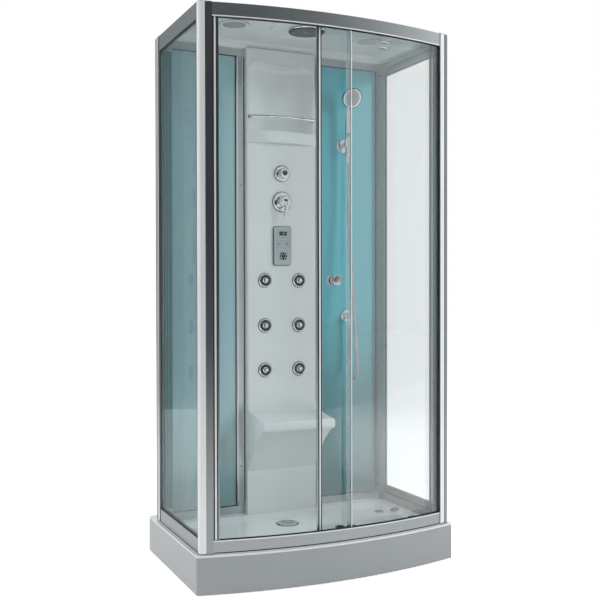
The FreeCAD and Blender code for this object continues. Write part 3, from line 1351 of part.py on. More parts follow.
def doorCarriers():
    """Wheel carriers through the top of the glass and sliding guides at the bottom."""
    face = size("doorRadius")
    inside = face - size("glassThick")
    wheelFront = size("trackRadius") + size("wheelWidth") / 2
    wheelBack = size("trackRadius") - size("wheelWidth") / 2
    pieces = []
    for turn in wheelAngles:
        top, low = size("wheelZ"), guideZ
        for z in (top, low):
            cap = radialCylinder(size("carrierRadius"), inside, 5, turn, z)
            shank = radialCylinder(size("holeRadius") - 0.4, face + 1, size("glassThick") + 2, turn, z)
            plateDisc = radialCylinder(size("carrierRadius") - 4, wheelBack - 0.3,
                                       wheelBack - 0.3 - face, turn, z)
            axle = radialCylinder(size("axleRadius"), wheelFront + 1.5, wheelFront + 1.5 - face, turn, z)
            head = radialCylinder(6.5, wheelFront + 2, 1.6, turn, z)
            carrier = cap.fuse([shank, plateDisc, axle, head])
            if z == low:
                guide = radialCylinder(size("wheelGroove"), wheelFront, size("wheelWidth") + 1, turn, z)
                carrier = carrier.fuse(guide)
            pieces.append(carrier)
    return Part.Compound(pieces)


def doorWheel(turn):
    """Grooved wheel on the track's upstand."""
    wide, z = size("wheelWidth"), size("wheelZ")
    front = size("trackRadius") + wide / 2
    wheel = radialCylinder(size("wheelRadius"), front, wide, turn, z)
    slot = size("trackEdge") / 2 + 0.5
    groove = radialCylinder(size("wheelRadius") + 2, size("trackRadius") + slot, 2 * slot, turn, z)
    core = radialCylinder(size("wheelGroove"), size("trackRadius") + slot + 1, 2 * slot + 2, turn, z)
    bore = radialCylinder(size("wheelBore"), front + 5, wide + 10, turn, z)
    return wheel.cut(groove.cut(core)).cut(bore)


node(doorGlass(), "door_glass")
node(doorProfiles(), "door_profiles")
node(solid("DoorKnob", doorKnob()), "door_knob")
node(solid("DoorCarriers", doorCarriers()), "door_carriers")
for turn, label in zip(wheelAngles, ("left", "right")):
    node(solid("Wheel" + label.capitalize(), doorWheel(turn)), "wheel_" + label)

# roof


def roofPlan(inset):
    """Roof outline, set in from the ledge that it lies on."""
    edge = size("roofInset") + size("seatGap") + inset
    return trayOutline(size("frameHalf") - edge, size("arcRadius") - edge, size("frameBack") - edge)


def roof():
    """Flanged lid with a raised ceiling, a moulded ring and ribs on top."""
    seat, rise, thick = size("roofSeat"), size("roofRise"), size("roofThick")
    flange, slope, corner = size("roofFlange"), size("roofSlope"), size("roofRound")
    lid = plate(roofPlan(0), seat, thick, corner)
    outside = funnel(roofPlan(flange - thick), seat, roofPlan(flange + slope - thick),
                     seat + rise + thick, corner)
    inside = funnel(roofPlan(flange), seat - 1, roofPlan(flange + slope), seat + rise,
                    corner - thick)
    shell = lid.fuse(outside).cut(inside)
    ring = Part.makeCylinder(size("rainRing"), 3, vector(size("rainX"), size("rainY"), size("ceiling")), -zAxis)
    ring = ring.cut(Part.makeCylinder(size("rainRing") - 10, 4,
                                      vector(size("rainX"), size("rainY"), size("ceiling") + 0.5), -zAxis))
    half = size("frameHalf") - flange - slope - 60
    top = seat + rise + thick
    ribs = [Part.makeBox(6, 380, 7, vector(x, -size("frontBow") - 130, top - 0.5)) for x in (-200, 200)]
    ribs.append(Part.makeBox(2 * half, 6, 7, vector(-half, 170, top - 0.5)))
    holes = [Part.makeCylinder(size("portRadius") - 9, 80, vector(sign * size("portSide"), size("portY"), seat))
             for sign in (-1, 1)]
    holes.append(Part.makeCylinder(14, 80, vector(size("rainX"), size("rainY"), seat)))
    for x, y in spotPlaces:
        holes.append(Part.makeCylinder(size("spotRadius") - 6, 80, vector(x, y, seat)))
    return shell.fuse([ring] + ribs).cut(holes[0].fuse(holes[1:])).removeSplitter()


spotPlaces = ((size("frameHalf") - 154, -25), (size("frameHalf") - 112, 55))


def rainHead():
    """Round spray plate under the ceiling with its inlet through the roof."""
    x, y, z = size("rainX"), size("rainY"), size("ceiling")
    radius = size("rainRadius")
    disc = Part.makeCylinder(radius, 9, vector(x, y, z), -zAxis)
    rim = [edge for edge in disc.Edges if near(edge.BoundBox.ZMax, z - 9)]
    disc = disc.makeFillet(3.5, rim)
    groove = Part.makeCylinder(radius - 6, 1.2, vector(x, y, z - 9.1 + 1.2), -zAxis)
    groove = groove.cut(Part.makeCylinder(radius - 8, 5, vector(x, y, z - 6), -zAxis))
    stem = Part.makeCylinder(12, size("roofThick") + 12, vector(x, y, z))
    elbow = Part.makeCylinder(6, 26, vector(x, y, z + size("roofThick") + 6), yAxis)
    return disc.cut(groove).fuse([stem, elbow])


def portGrille(x, bars):
    """A ceiling ring with bars across it."""
    z, y, radius = size("ceiling"), size("portY"), size("portRadius")
    ring = Part.makeCylinder(radius, 5, vector(x, y, z), -zAxis)
    rim = [edge for edge in ring.Edges if near(edge.BoundBox.ZMax, z - 5)]
    ring = ring.makeFillet(2.5, rim)
    ring = ring.fuse(Part.makeCylinder(radius - 9.3, 8, vector(x, y, z)))
    ring = ring.cut(Part.makeCylinder(radius - 12, 30, vector(x, y, z - 10)))
    inner = radius - 11
    grille = [Part.makeBox(2 * inner, 4, 2.5, vector(x - inner, y - 2, z - 3))]
    for row in range(1, bars + 1):
        offset = row * (inner - 4) / (bars + 0.5)
        half = math.sqrt(inner ** 2 - (offset + 2) ** 2)
        for side in (-1, 1):
            grille.append(Part.makeBox(2 * half, 4, 2.5, vector(x - half, y + side * offset - 2, z - 3)))
    return ring.fuse(grille)


def fanHousing():
    """Ceiling grille with the fan's duct and motor hub above it."""
    x, y, z = -size("portSide"), size("portY"), size("ceiling")
    radius = size("portRadius") - 12
    grille = portGrille(x, 3)
    hub = Part.makeCylinder(10, 3.5, vector(x, y, z + 14))
    spokes = [Part.makeBox(2 * radius + 4, 3, 3.5, vector(x - radius - 2, y - 1.5, z + 14)),
              Part.makeBox(3, 2 * radius + 4, 3.5, vector(x - 1.5, y - radius - 2, z + 14))]
    wall = Part.makeCylinder(radius + 2.7, 17.5, vector(x, y, z))
    wall = wall.cut(Part.makeCylinder(radius, 30, vector(x, y, z - 5)))
    axle = Part.makeCylinder(2.5, 12, vector(x, y, z + 3))
    return grille.fuse([wall, hub] + spokes + [axle]).removeSplitter()


def fanImpeller():
    """Seven twisted blades on a hub."""
    x, y, z = -size("portSide"), size("portY"), size("ceiling")
    radius = size("fanRadius")
    hub = Part.makeCylinder(12, 9, vector(0, 0, 4))
    blades = []
    for number in range(7):
        inner = Part.makePolygon([vector(10, -4, 4.6), vector(10, -3, 4.6), vector(10, 5, 12.4),
                                  vector(10, 4, 12.4), vector(10, -4, 4.6)])
        outer = Part.makePolygon([vector(radius, -9, 5.6), vector(radius, -8, 5.6),
                                  vector(radius, 10, 11.4), vector(radius, 9, 11.4),
                                  vector(radius, -9, 5.6)])
        blade = Part.makeLoft([inner, outer], True, True)
        blade.rotate(origin, zAxis, 360 / 7 * number)
        blades.append(blade)
    disc = Part.makeCylinder(radius, 20)
    impeller = hub.fuse(blades).common(disc)
    impeller = impeller.cut(Part.makeCylinder(2.55, 40, vector(0, 0, -5)))
    impeller.translate(vector(x, y, z))
    return impeller


def ceilingFittings():
    """Loudspeaker grille and two recessed lamps."""
    z, radius = size("ceiling"), size("spotRadius")
    pieces = [portGrille(size("portSide"), 4)]
    speaker = Part.makeCylinder(size("portRadius") - 11, 7, vector(size("portSide"), size("portY"), z + 1))
    pieces[0] = pieces[0].fuse(speaker)
    for x, y in spotPlaces:
        ring = Part.makeCone(radius, radius - 5, 5, vector(x, y, z), -zAxis)
        can = Part.makeCylinder(radius - 6.3, 14, vector(x, y, z))
        bowl = Part.makeCone(radius - 7, radius - 10, 5, vector(x, y, z - 5.1))
        pieces.append(ring.fuse(can).cut(bowl))
    return Part.Compound(pieces)


node(solid("Roof", roof()), "roof")
node(solid("RainHead", rainHead()), "rain_head")
node(solid("FanHousing", fanHousing()), "fan_housing")
node(solid("FanImpeller", fanImpeller()), "fan_impeller")
node(solid("CeilingFittings", ceilingFittings()), "ceiling_fittings")

# services


def steamGenerator():
    """Boiler case on the tray's rear rim, with its lid, feet and steam pipe stub."""
    half, deep, tall = size("boilerHalf"), size("boilerDepth"), size("boilerTall")
    front, low = size("boilerFront"), size("trayHeight")
    case = Part.makeBox(2 * half, deep, tall - 12, vector(-half, front, low + 12))
    case = case.makeFillet(6, [edge for edge in case.Edges if upright(edge)])
    feet = [Part.makeBox(24, deep - 12, 12, vector(x, front + 6, low)) for x in (-half + 14, half - 38)]
    stub = Part.makeCylinder(11, 26, vector(0.5 * half, front + deep / 2, low + tall))
    valve = Part.makeCylinder(6, 18, vector(-0.5 * half, front + deep / 2, low + tall))
    slots = [Part.makeBox(60, 3, 4, vector(-30, front + deep - 2, low + tall - 60 - 12 * row))
             for row in range(6)]
    return case.fuse(feet + [stub, valve]).cut(slots[0].fuse(slots[1:]))


def supplyManifold():
    """Valve bodies behind the column with the two water inlets."""
    face = size("columnFace") + size("columnWall")
    mixer, diverter = size("mixerZ"), size("diverterZ")
    side, end, low = size("tailSide"), size("tailEnd"), size("tailZ")
    middle = face + 26
    parts = [Part.makeCylinder(22, 52, vector(0, face, mixer), yAxis),
             Part.makeCylinder(18, 52, vector(0, face, diverter), yAxis),
             Part.makeCylinder(8, diverter - mixer, vector(0, middle, mixer))]
    for sign in (-1, 1):
        x = sign * side
        parts.append(Part.makeCylinder(8, side, vector(0, middle, mixer), xAxis * sign))
        parts.append(Part.makeSphere(8, vector(x, middle, mixer)))
        parts.append(Part.makeCylinder(8, mixer - low, vector(x, middle, low)))
        parts.append(Part.makeSphere(8, vector(x, middle, low)))
        parts.append(Part.makeCylinder(8, end - 15 - middle, vector(x, middle, low), yAxis))
        parts.append(Part.makeCylinder(size("tailRadius"), 15, vector(x, end - 15, low), yAxis))
        parts.append(Part.makeCylinder(size("tailRadius") + 4, 6, vector(x, end - 21, low), yAxis))
    body = parts[0].fuse(parts[1:])
    bores = [Part.makeCylinder(6.5, 18, vector(sign * side, end - 17, low), yAxis) for sign in (-1, 1)]
    return body.cut(bores[0].fuse(bores[1:]))


node(solid("SteamGenerator", steamGenerator()), "steam_generator")
node(solid("SupplyManifold", supplyManifold()), "supply_manifold")

# files

doc.recompute()
faults = []
for piece in doc.Objects:
    if "Invalid" in piece.State or "Error" in piece.State:
        faults.append("%s: %s" % (piece.Name, piece.State))
for piece in nodes:
    shape = piece.Shape
    if shape.isNull() or not shape.isValid() or not shape.Solids:
        faults.append("%s: bad shape" % piece.Label)
if faults:
    raise SystemExit("\n".join(faults))

os.makedirs("parts", exist_ok=True)
for piece in nodes:
    piece.Shape.exportStep("parts/%s.step" % piece.Label)
print(len(nodes), "nodes written")
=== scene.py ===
import math

import bmesh
import bpy
from mathutils import Matrix, Vector


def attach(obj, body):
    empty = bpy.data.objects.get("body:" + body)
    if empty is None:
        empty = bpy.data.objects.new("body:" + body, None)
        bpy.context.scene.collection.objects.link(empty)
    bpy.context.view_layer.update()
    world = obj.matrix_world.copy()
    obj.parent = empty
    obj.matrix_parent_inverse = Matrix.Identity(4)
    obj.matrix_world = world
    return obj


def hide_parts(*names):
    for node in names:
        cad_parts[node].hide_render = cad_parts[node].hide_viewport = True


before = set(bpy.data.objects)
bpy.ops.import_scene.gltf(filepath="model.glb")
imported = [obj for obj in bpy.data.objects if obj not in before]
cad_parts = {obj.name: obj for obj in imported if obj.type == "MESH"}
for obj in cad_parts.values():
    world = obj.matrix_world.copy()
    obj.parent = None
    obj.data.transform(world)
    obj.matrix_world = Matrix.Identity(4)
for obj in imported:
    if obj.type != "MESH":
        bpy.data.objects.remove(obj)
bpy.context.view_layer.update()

scene = bpy.context.scene

# The cabin's own lines, in metres, where the CAD has them.
cabinLines = {
    "bowCentre": 1.74775, "bowRadius": 2.09475, "postInner": 0.487,
    "wallFace": 0.238, "columnFace": 0.198, "panelFace": 0.184, "rimTop": 0.145,
    "bottomRailTop": 0.195, "topRailLow": 2.095, "frameTop": 2.145, "ceiling": 2.160,
    "doorRadius": 2.05175, "frontGlassRadius": 2.08375,
    "doorRest": -1.95,  # degrees round the bow to the open door's edge
}

print("stage 1: camera, floor and light")

photoCamera = {
    "place": (-1.56604, -3.36817, 1.11109),
    "turn": 24.857,  # degrees to the right of straight ahead
    "tilt": -0.737,
    "lean": -0.099,
    "lens": 53.88,
}

studio = {
    "floorColour": "#F4F4F3",
    "floorSize": 30.0,
    "floorLift": 0.62,
    "skyLight": 0.38,
}


def linearColour(hexCode):
    channels = [int(hexCode[start:start + 2], 16) / 255 for start in (1, 3, 5)]
    return [c / 12.92 if c <= 0.04045 else ((c + 0.055) / 1.055) ** 2.4 for c in channels] + [1.0]


def addNode(tree, kind, settings=None, links=None):
    node = tree.nodes.new(kind)
    for name, value in (settings or {}).items():
        if isinstance(name, int) or name in node.inputs:
            node.inputs[name].default_value = value
        else:
            setattr(node, name, value)
    for name, socket in (links or {}).items():
        tree.links.new(socket, node.inputs[name])
    return node


def startMaterial(name):
    material = bpy.data.materials.new(name)
    material.use_nodes = True
    material.node_tree.nodes.clear()
    return material, material.node_tree


def finishMaterial(tree, shader):
    addNode(tree, "ShaderNodeOutputMaterial", links={"Surface": shader.outputs[0]})


def blendColours(tree, factor, first, second):
    mix = addNode(tree, "ShaderNodeMix", {"data_type": "RGBA", 6: linearColour(first),
                                          7: linearColour(second)}, {0: factor})
    return mix.outputs[2]


def aimedAt(place, target):
    return (Vector(target) - Vector(place)).to_track_quat("-Z", "Y").to_euler()


def placeCamera():
    lens = bpy.data.cameras.new("photoCamera")
    lens.lens = photoCamera["lens"]
    lens.sensor_width = 36
    lens.clip_end = 100
    camera = bpy.data.objects.new("photoCamera", lens)
    scene.collection.objects.link(camera)
    turned = (Matrix.Rotation(math.radians(-photoCamera["turn"]), 4, "Z")
              @ Matrix.Rotation(math.radians(90 + photoCamera["tilt"]), 4, "X")
              @ Matrix.Rotation(math.radians(photoCamera["lean"]), 4, "Z"))
    camera.matrix_world = Matrix.Translation(photoCamera["place"]) @ turned
    scene.camera = camera


def backgroundRays(tree):  # 1 for the rays that see the white: the camera's, in gloss and through glass
    rays = addNode(tree, "ShaderNodeLightPath")
    seen = addNode(tree, "ShaderNodeMath", {"operation": "MAXIMUM"}, {
        0: rays.outputs["Is Camera Ray"], 1: rays.outputs["Is Glossy Ray"]})
    seen = addNode(tree, "ShaderNodeMath", {"operation": "MAXIMUM"}, {
        0: seen.outputs[0], 1: rays.outputs["Is Transmission Ray"]})
    return seen.outputs[0]


def linkSheet(name, corners, material):
    mesh = bpy.data.meshes.new(name)
    mesh.from_pydata(corners, [], [(0, 1, 2, 3)])
    mesh.materials.append(material)
    sheet = bpy.data.objects.new(name, mesh)
    scene.collection.objects.link(sheet)
    return sheet


def layFloor():
    # matt white paint: its own glow lifts the lit floor to white and leaves the cabin's soft shadow
    material, tree = startMaterial("mattWhiteFloorPaint")
    grain = addNode(tree, "ShaderNodeTexNoise", {"Scale": 3.0})
    paint = addNode(tree, "ShaderNodeBsdfPrincipled", {"Roughness": 0.8}, {
        "Base Color": blendColours(tree, grain.outputs[0], studio["floorColour"], "#FAFAF9")})
    lift = addNode(tree, "ShaderNodeMath", {"operation": "MULTIPLY", 1: studio["floorLift"]},
                   {0: backgroundRays(tree)})
    glow = addNode(tree, "ShaderNodeEmission", {"Color": (1, 1, 1, 1)}, {"Strength": lift.outputs[0]})
    both = addNode(tree, "ShaderNodeAddShader", links={0: paint.outputs[0], 1: glow.outputs[0]})
    finishMaterial(tree, both)
    half = studio["floorSize"] / 2
    corners = [(-half, -half, 0), (half, -half, 0), (half, half, 0), (-half, half, 0)]
    floor = linkSheet("studioFloor", corners, material)


def paintSky():
    world = bpy.data.worlds.new("studioSky")
    world.use_nodes = True
    scene.world = world
    tree = world.node_tree
    tree.nodes.clear()
    white = addNode(tree, "ShaderNodeBackground", {"Color": (1, 1, 1, 1), "Strength": 1.0})
    light = addNode(tree, "ShaderNodeBackground", {"Color": (0.96, 0.98, 1, 1),
                                                  "Strength": studio["skyLight"]})
    both = addNode(tree, "ShaderNodeMixShader", links={
        0: backgroundRays(tree), 1: light.outputs[0], 2: white.outputs[0]})
    addNode(tree, "ShaderNodeOutputWorld", links={"Surface": both.outputs[0]})


studioLamps = {
    "frontRightBox": {"place": (2.9, -3.2, 2.6), "target": (0.1, 0.1, 1.0), "size": (1.4, 2.2), "watts": 82},
    "backLeftBox": {"place": (-3.4, 0.6, 2.4), "target": (-0.3, 0, 1.0), "size": (1.4, 2.4), "watts": 44},
    "ceilingBox": {"place": (0.0, -0.6, 4.6), "target": (0, 0, 0), "size": (3.0, 2.0), "watts": 39},
}


def hangLamps():
    for name, lamp in studioLamps.items():
        light = bpy.data.lights.new(name, "AREA")
        light.shape = "RECTANGLE"
        light.size, light.size_y = lamp["size"]
        light.energy = lamp["watts"]
        holder = bpy.data.objects.new(name, light)
        holder.location = lamp["place"]
        holder.rotation_euler = aimedAt(lamp["place"], lamp["target"])
        holder.visible_glossy = False  # metal and glass see the boards, the floor and the sky instead
        holder.visible_transmission = False
        scene.collection.objects.link(holder)


# Boards that only gloss sees, in front of the white and each with greys from its first end to its
# last: they make the profiles darker on the left than on the right.
studioBoards = {
    "frontBoard": {"ends": ((-4.2, -4.6), (6.6, -4.6)), "low": -0.5, "high": 5.0,
                   "greys": ((0.0, "#B4B8B8"), (0.17, "#64696A"), (0.28, "#464A4C"), (0.42, "#4C5153"),
                             (0.60, "#85898B"), (0.80, "#BFC1C2"), (1.0, "#D4D5D5"))},
    "backLeftBoard": {"ends": ((-5.2, 3.0), (-0.7, 5.2)), "low": 0.0, "high": 4.6,
                      "greys": ((0.0, "#F4F5F5"), (0.3, "#A2A6A7"), (0.8, "#8A8F90"), (1.0, "#A6AAAA"))},
}


def standBoards():
    for name, board in studioBoards.items():
        material, tree = startMaterial(name + "ReflectionGlow")  # a glowing board whose brightness runs along it in the given greys; only gloss sees it
        along = addNode(tree, "ShaderNodeSeparateXYZ", links={
            "Vector": addNode(tree, "ShaderNodeTexCoord").outputs["Generated"]}).outputs["X"]
        ramp = addNode(tree, "ShaderNodeValToRGB", links={"Fac": along})
        greys = ramp.color_ramp.elements
        greys[0].position, greys[1].position = board["greys"][0][0], board["greys"][-1][0]
        greys[0].color = linearColour(board["greys"][0][1])
        greys[1].color = linearColour(board["greys"][-1][1])
        for place, shade in board["greys"][1:-1]:
            greys.new(place).color = linearColour(shade)
        glow = addNode(tree, "ShaderNodeEmission", {"Strength": 1.0}, {"Color": ramp.outputs[0]})
        finishMaterial(tree, glow)
        low, high = board["low"], board["high"]
        (x0, y0), (x1, y1) = board["ends"]
        sheet = linkSheet(name, [(x0, y0, low), (x1, y1, low), (x1, y1, high), (x0, y0, high)], material)
        sheet.visible_camera = False
        sheet.visible_diffuse = False
        sheet.visible_shadow = False
        sheet.visible_transmission = False


placeCamera()
layFloor()
paintSky()
hangLamps()
standBoards()
scene.view_settings.view_transform = "Standard"

print("stage 2: materials")


def texturePlace(tree, stretch=(1, 1, 1)):
    where = addNode(tree, "ShaderNodeTexCoord").outputs["Object"]
    return addNode(tree, "ShaderNodeMapping", {"Scale": stretch}, {"Vector": where}).outputs[0]


def rangeOf(tree, value, low, high):
    node = addNode(tree, "ShaderNodeMapRange", {"To Min": low, "To Max": high}, {"Value": value})
    return node.outputs[0]


def brushedAluminium(name, along, light="#C9CDCF", dark="#AEB3B6"):
    # anodised extrusion: fine die lines run along the bar, drawn 3 mm wide so that they show
    material, tree = startMaterial(name)
    across, lengthwise = 1 / 0.003, 1 / 0.4
    stretch = [across] * 3
    stretch["XYZ".index(along)] = lengthwise
    lines = addNode(tree, "ShaderNodeTexNoise", {"Scale": 1.0, "Detail": 4.0},
                    {"Vector": texturePlace(tree, stretch)})
    cloud = addNode(tree, "ShaderNodeTexNoise", {"Scale": 5.0, "Detail": 2.0},
                    {"Vector": texturePlace(tree)})
    bump = addNode(tree, "ShaderNodeBump", {"Strength": 0.06, "Distance": 0.0004},
                   {"Height": lines.outputs[0]})
    mixed = addNode(tree, "ShaderNodeMath", {"operation": "MULTIPLY"},
                    {0: lines.outputs[0], 1: cloud.outputs[0]})
    shader = addNode(tree, "ShaderNodeBsdfPrincipled", {"Metallic": 1.0}, {
        "Base Color": blendColours(tree, lines.outputs[0], dark, light),
        "Roughness": rangeOf(tree, mixed.outputs[0], 0.27, 0.4), "Normal": bump.outputs[0]})
    finishMaterial(tree, shader)
    return material


def platedChrome(name, colour="#DEE1E3", shade="#C4C8CB", rough=(0.04, 0.10)):
    # polished plating: near mirror, with faint water marks some 17 mm across in the gloss
    material, tree = startMaterial(name)
    marks = addNode(tree, "ShaderNodeTexNoise", {"Scale": 60.0, "Detail": 3.0},
                    {"Vector": texturePlace(tree)})
    shader = addNode(tree, "ShaderNodeBsdfPrincipled", {"Metallic": 1.0}, {
        "Base Color": blendColours(tree, marks.outputs[0], colour, shade),
        "Roughness": rangeOf(tree, marks.outputs[0], *rough)})
    finishMaterial(tree, shader)
    return material


def formedAcrylic(name, light="#F3F5F5", shade="#E8ECED", grain=0.009, rough=(0.12, 0.24)):
    # vacuum-formed sanitary acrylic: soft gloss with a slight orange peel, 9 or 12 mm across
    material, tree = startMaterial(name)
    peel = addNode(tree, "ShaderNodeTexNoise", {"Scale": 1 / grain, "Detail": 1.0},
                   {"Vector": texturePlace(tree)})
    cloud = addNode(tree, "ShaderNodeTexNoise", {"Scale": 2.5, "Detail": 3.0},
                    {"Vector": texturePlace(tree)})
    bump = addNode(tree, "ShaderNodeBump", {"Strength": 0.05, "Distance": 0.0006},
                   {"Height": peel.outputs[0]})
    shader = addNode(tree, "ShaderNodeBsdfPrincipled", {
        "IOR": 1.49, "Coat Weight": 0.35, "Coat Roughness": 0.06}, {
        "Base Color": blendColours(tree, cloud.outputs[0], shade, light),
        "Roughness": rangeOf(tree, cloud.outputs[0], *rough), "Normal": bump.outputs[0]})
    finishMaterial(tree, shader)
    return material


def shadedTealWallGlass(name, top, middle, low):
    # back-painted sheet glass below a clear gloss; its colour is painted paler towards the top and darker
    # towards the bottom, as painted light and shade from the lamps above
    material, tree = startMaterial(name)
    where = addNode(tree, "ShaderNodeTexCoord").outputs["Object"]
    height = addNode(tree, "ShaderNodeSeparateXYZ", links={"Vector": where}).outputs["Z"]
    # painted light and shade: the colour is graded by height, paler high up and darker low down
    ramp = addNode(tree, "ShaderNodeValToRGB", links={"Fac": rangeOf(tree, height, -0.08, 0.88)})
    ramp.color_ramp.elements[0].color = linearColour(low)
    ramp.color_ramp.elements[1].color = linearColour(top)
    ramp.color_ramp.elements.new(0.5).color = linearColour(middle)
    cloud = addNode(tree, "ShaderNodeTexNoise", {"Scale": 1.6, "Detail": 2.0}, {"Vector": where})
    tone = addNode(tree, "ShaderNodeMix", {"data_type": "RGBA", "blend_type": "MULTIPLY", 0: 0.12},
                   {6: ramp.outputs[0], 7: cloud.outputs[1]})
    shader = addNode(tree, "ShaderNodeBsdfPrincipled", {
        "IOR": 1.52, "Coat Weight": 0.5, "Coat Roughness": 0.03}, {
        "Base Color": tone.outputs[2], "Roughness": rangeOf(tree, cloud.outputs[0], 0.1, 0.2)})
    finishMaterial(tree, shader)
    return material


def toughenedGlass(name, tint="#FAFBFB", veil=0.025, plain=0.0):
    # clear float glass under a thin veil of dried water, in marks some 45 mm across; plain is the
    # share that shows no gloss, as on a coated pane
    material, tree = startMaterial(name)
    rays = addNode(tree, "ShaderNodeLightPath")
    marks = addNode(tree, "ShaderNodeTexNoise", {"Scale": 22.0, "Detail": 4.0},
                    {"Vector": texturePlace(tree, (1, 1, 0.35))})
    body = addNode(tree, "ShaderNodeBsdfPrincipled", {
        "Base Color": linearColour(tint), "IOR": 1.5, "Transmission Weight": 1.0},
        {"Roughness": rangeOf(tree, marks.outputs[0], 0.0, 0.03)})
    film = addNode(tree, "ShaderNodeBsdfDiffuse", {"Color": linearColour("#E2E6E6")})
    share = rangeOf(tree, marks.outputs[0], 0.2 * veil, veil)
    pane = addNode(tree, "ShaderNodeMixShader", links={0: share, 1: body.outputs[0], 2: film.outputs[0]})
    clear = addNode(tree, "ShaderNodeBsdfTransparent", {"Color": linearColour("#F1F6F6")})
    straight = addNode(tree, "ShaderNodeMath", {"operation": "MAXIMUM", 1: plain},
                       {0: rays.outputs["Is Shadow Ray"]})
    both = addNode(tree, "ShaderNodeMixShader", links={
        0: straight.outputs[0], 1: pane.outputs[0], 2: clear.outputs[0]})
    finishMaterial(tree, both)
    return material


def extrudedRubber(name, light, dark, rough=(0.45, 0.6)):
    # extruded seal: satin, slightly dusty, in spots some 11 mm across
    material, tree = startMaterial(name)
    dust = addNode(tree, "ShaderNodeTexNoise", {"Scale": 90.0, "Detail": 3.0},
                   {"Vector": texturePlace(tree)})
    bump = addNode(tree, "ShaderNodeBump", {"Strength": 0.15, "Distance": 0.0003},
                   {"Height": dust.outputs[0]})
    shader = addNode(tree, "ShaderNodeBsdfPrincipled", {"IOR": 1.5}, {
        "Base Color": blendColours(tree, dust.outputs[0], dark, light),
        "Roughness": rangeOf(tree, dust.outputs[0], *rough), "Normal": bump.outputs[0]})
    finishMaterial(tree, shader)
    return material


def mouldedPlastic(name, light, dark, grain=0.002, rough=(0.3, 0.45)):
    # injection moulded part with the fine spark grain of its tool, drawn 1 to 3 mm wide to show
    material, tree = startMaterial(name)
    spark = addNode(tree, "ShaderNodeTexNoise", {"Scale": 1 / grain, "Detail": 2.0},
                    {"Vector": texturePlace(tree)})
    cloud = addNode(tree, "ShaderNodeTexNoise", {"Scale": 9.0, "Detail": 2.0},
                    {"Vector": texturePlace(tree)})
    bump = addNode(tree, "ShaderNodeBump", {"Strength": 0.12, "Distance": 0.0003},
                   {"Height": spark.outputs[0]})
    shader = addNode(tree, "ShaderNodeBsdfPrincipled", {"IOR": 1.46}, {
        "Base Color": blendColours(tree, cloud.outputs[0], dark, light),
        "Roughness": rangeOf(tree, spark.outputs[0], *rough), "Normal": bump.outputs[0]})
    finishMaterial(tree, shader)
    return material


def sprayedMetal(name, light, dark, flake=0.0025, rough=(0.3, 0.42), metallic=0.35):
    # metallic lacquer: bright flakes under a satin clear coat, drawn about 2 mm wide to show
    material, tree = startMaterial(name)
    flakes = addNode(tree, "ShaderNodeTexVoronoi", {"Scale": 1 / flake}, {"Vector": texturePlace(tree)})
    cloud = addNode(tree, "ShaderNodeTexNoise", {"Scale": 4.0, "Detail": 2.0},
                    {"Vector": texturePlace(tree)})
    bump = addNode(tree, "ShaderNodeBump", {"Strength": 0.04, "Distance": 0.0003},
                   {"Height": flakes.outputs[0]})
    shader = addNode(tree, "ShaderNodeBsdfPrincipled", {
        "Metallic": metallic, "Coat Weight": 0.3, "Coat Roughness": 0.12}, {
        "Base Color": blendColours(tree, cloud.outputs[0], dark, light),
        "Roughness": rangeOf(tree, flakes.outputs[0], *rough), "Normal": bump.outputs[0]})
    finishMaterial(tree, shader)
    return material


def zincSteel(name):
    # galvanised tube: spangled zinc crystals about 12 mm across
    material, tree = startMaterial(name)
    spangle = addNode(tree, "ShaderNodeTexVoronoi", {"Scale": 1 / 0.012}, {"Vector": texturePlace(tree)})
    tone = addNode(tree, "ShaderNodeSeparateColor", links={"Color": spangle.outputs["Color"]})
    shader = addNode(tree, "ShaderNodeBsdfPrincipled", {"Metallic": 1.0}, {
        "Base Color": blendColours(tree, tone.outputs[0], "#8B9094", "#B4B9BC"),
        "Roughness": rangeOf(tree, tone.outputs[1], 0.35, 0.55)})
    finishMaterial(tree, shader)
    return material


def castBrass(name):
    # cast and turned brass, dulled in patches some 25 mm across where it was handled
    material, tree = startMaterial(name)
    patina = addNode(tree, "ShaderNodeTexNoise", {"Scale": 40.0, "Detail": 5.0},
                     {"Vector": texturePlace(tree)})
    bump = addNode(tree, "ShaderNodeBump", {"Strength": 0.2, "Distance": 0.0004},
                   {"Height": patina.outputs[0]})
    shader = addNode(tree, "ShaderNodeBsdfPrincipled", {"Metallic": 1.0}, {
        "Base Color": blendColours(tree, patina.outputs[0], "#8F7334", "#C9A85C"),
        "Roughness": rangeOf(tree, patina.outputs[0], 0.25, 0.5), "Normal": bump.outputs[0]})
    finishMaterial(tree, shader)
    return material


def litDisplay(name, colour, strength):
    # backlit segments, a little uneven from their lamps
    material, tree = startMaterial(name)
    uneven = addNode(tree, "ShaderNodeTexNoise", {"Scale": 150.0}, {"Vector": texturePlace(tree)})
    glow = addNode(tree, "ShaderNodeBsdfPrincipled", {
        "Emission Color": linearColour(colour), "Roughness": 0.4, "Base Color": linearColour(colour)},
        {"Emission Strength": rangeOf(tree, uneven.outputs[0], 0.8 * strength, 1.1 * strength)})
    finishMaterial(tree, glow)
    return material


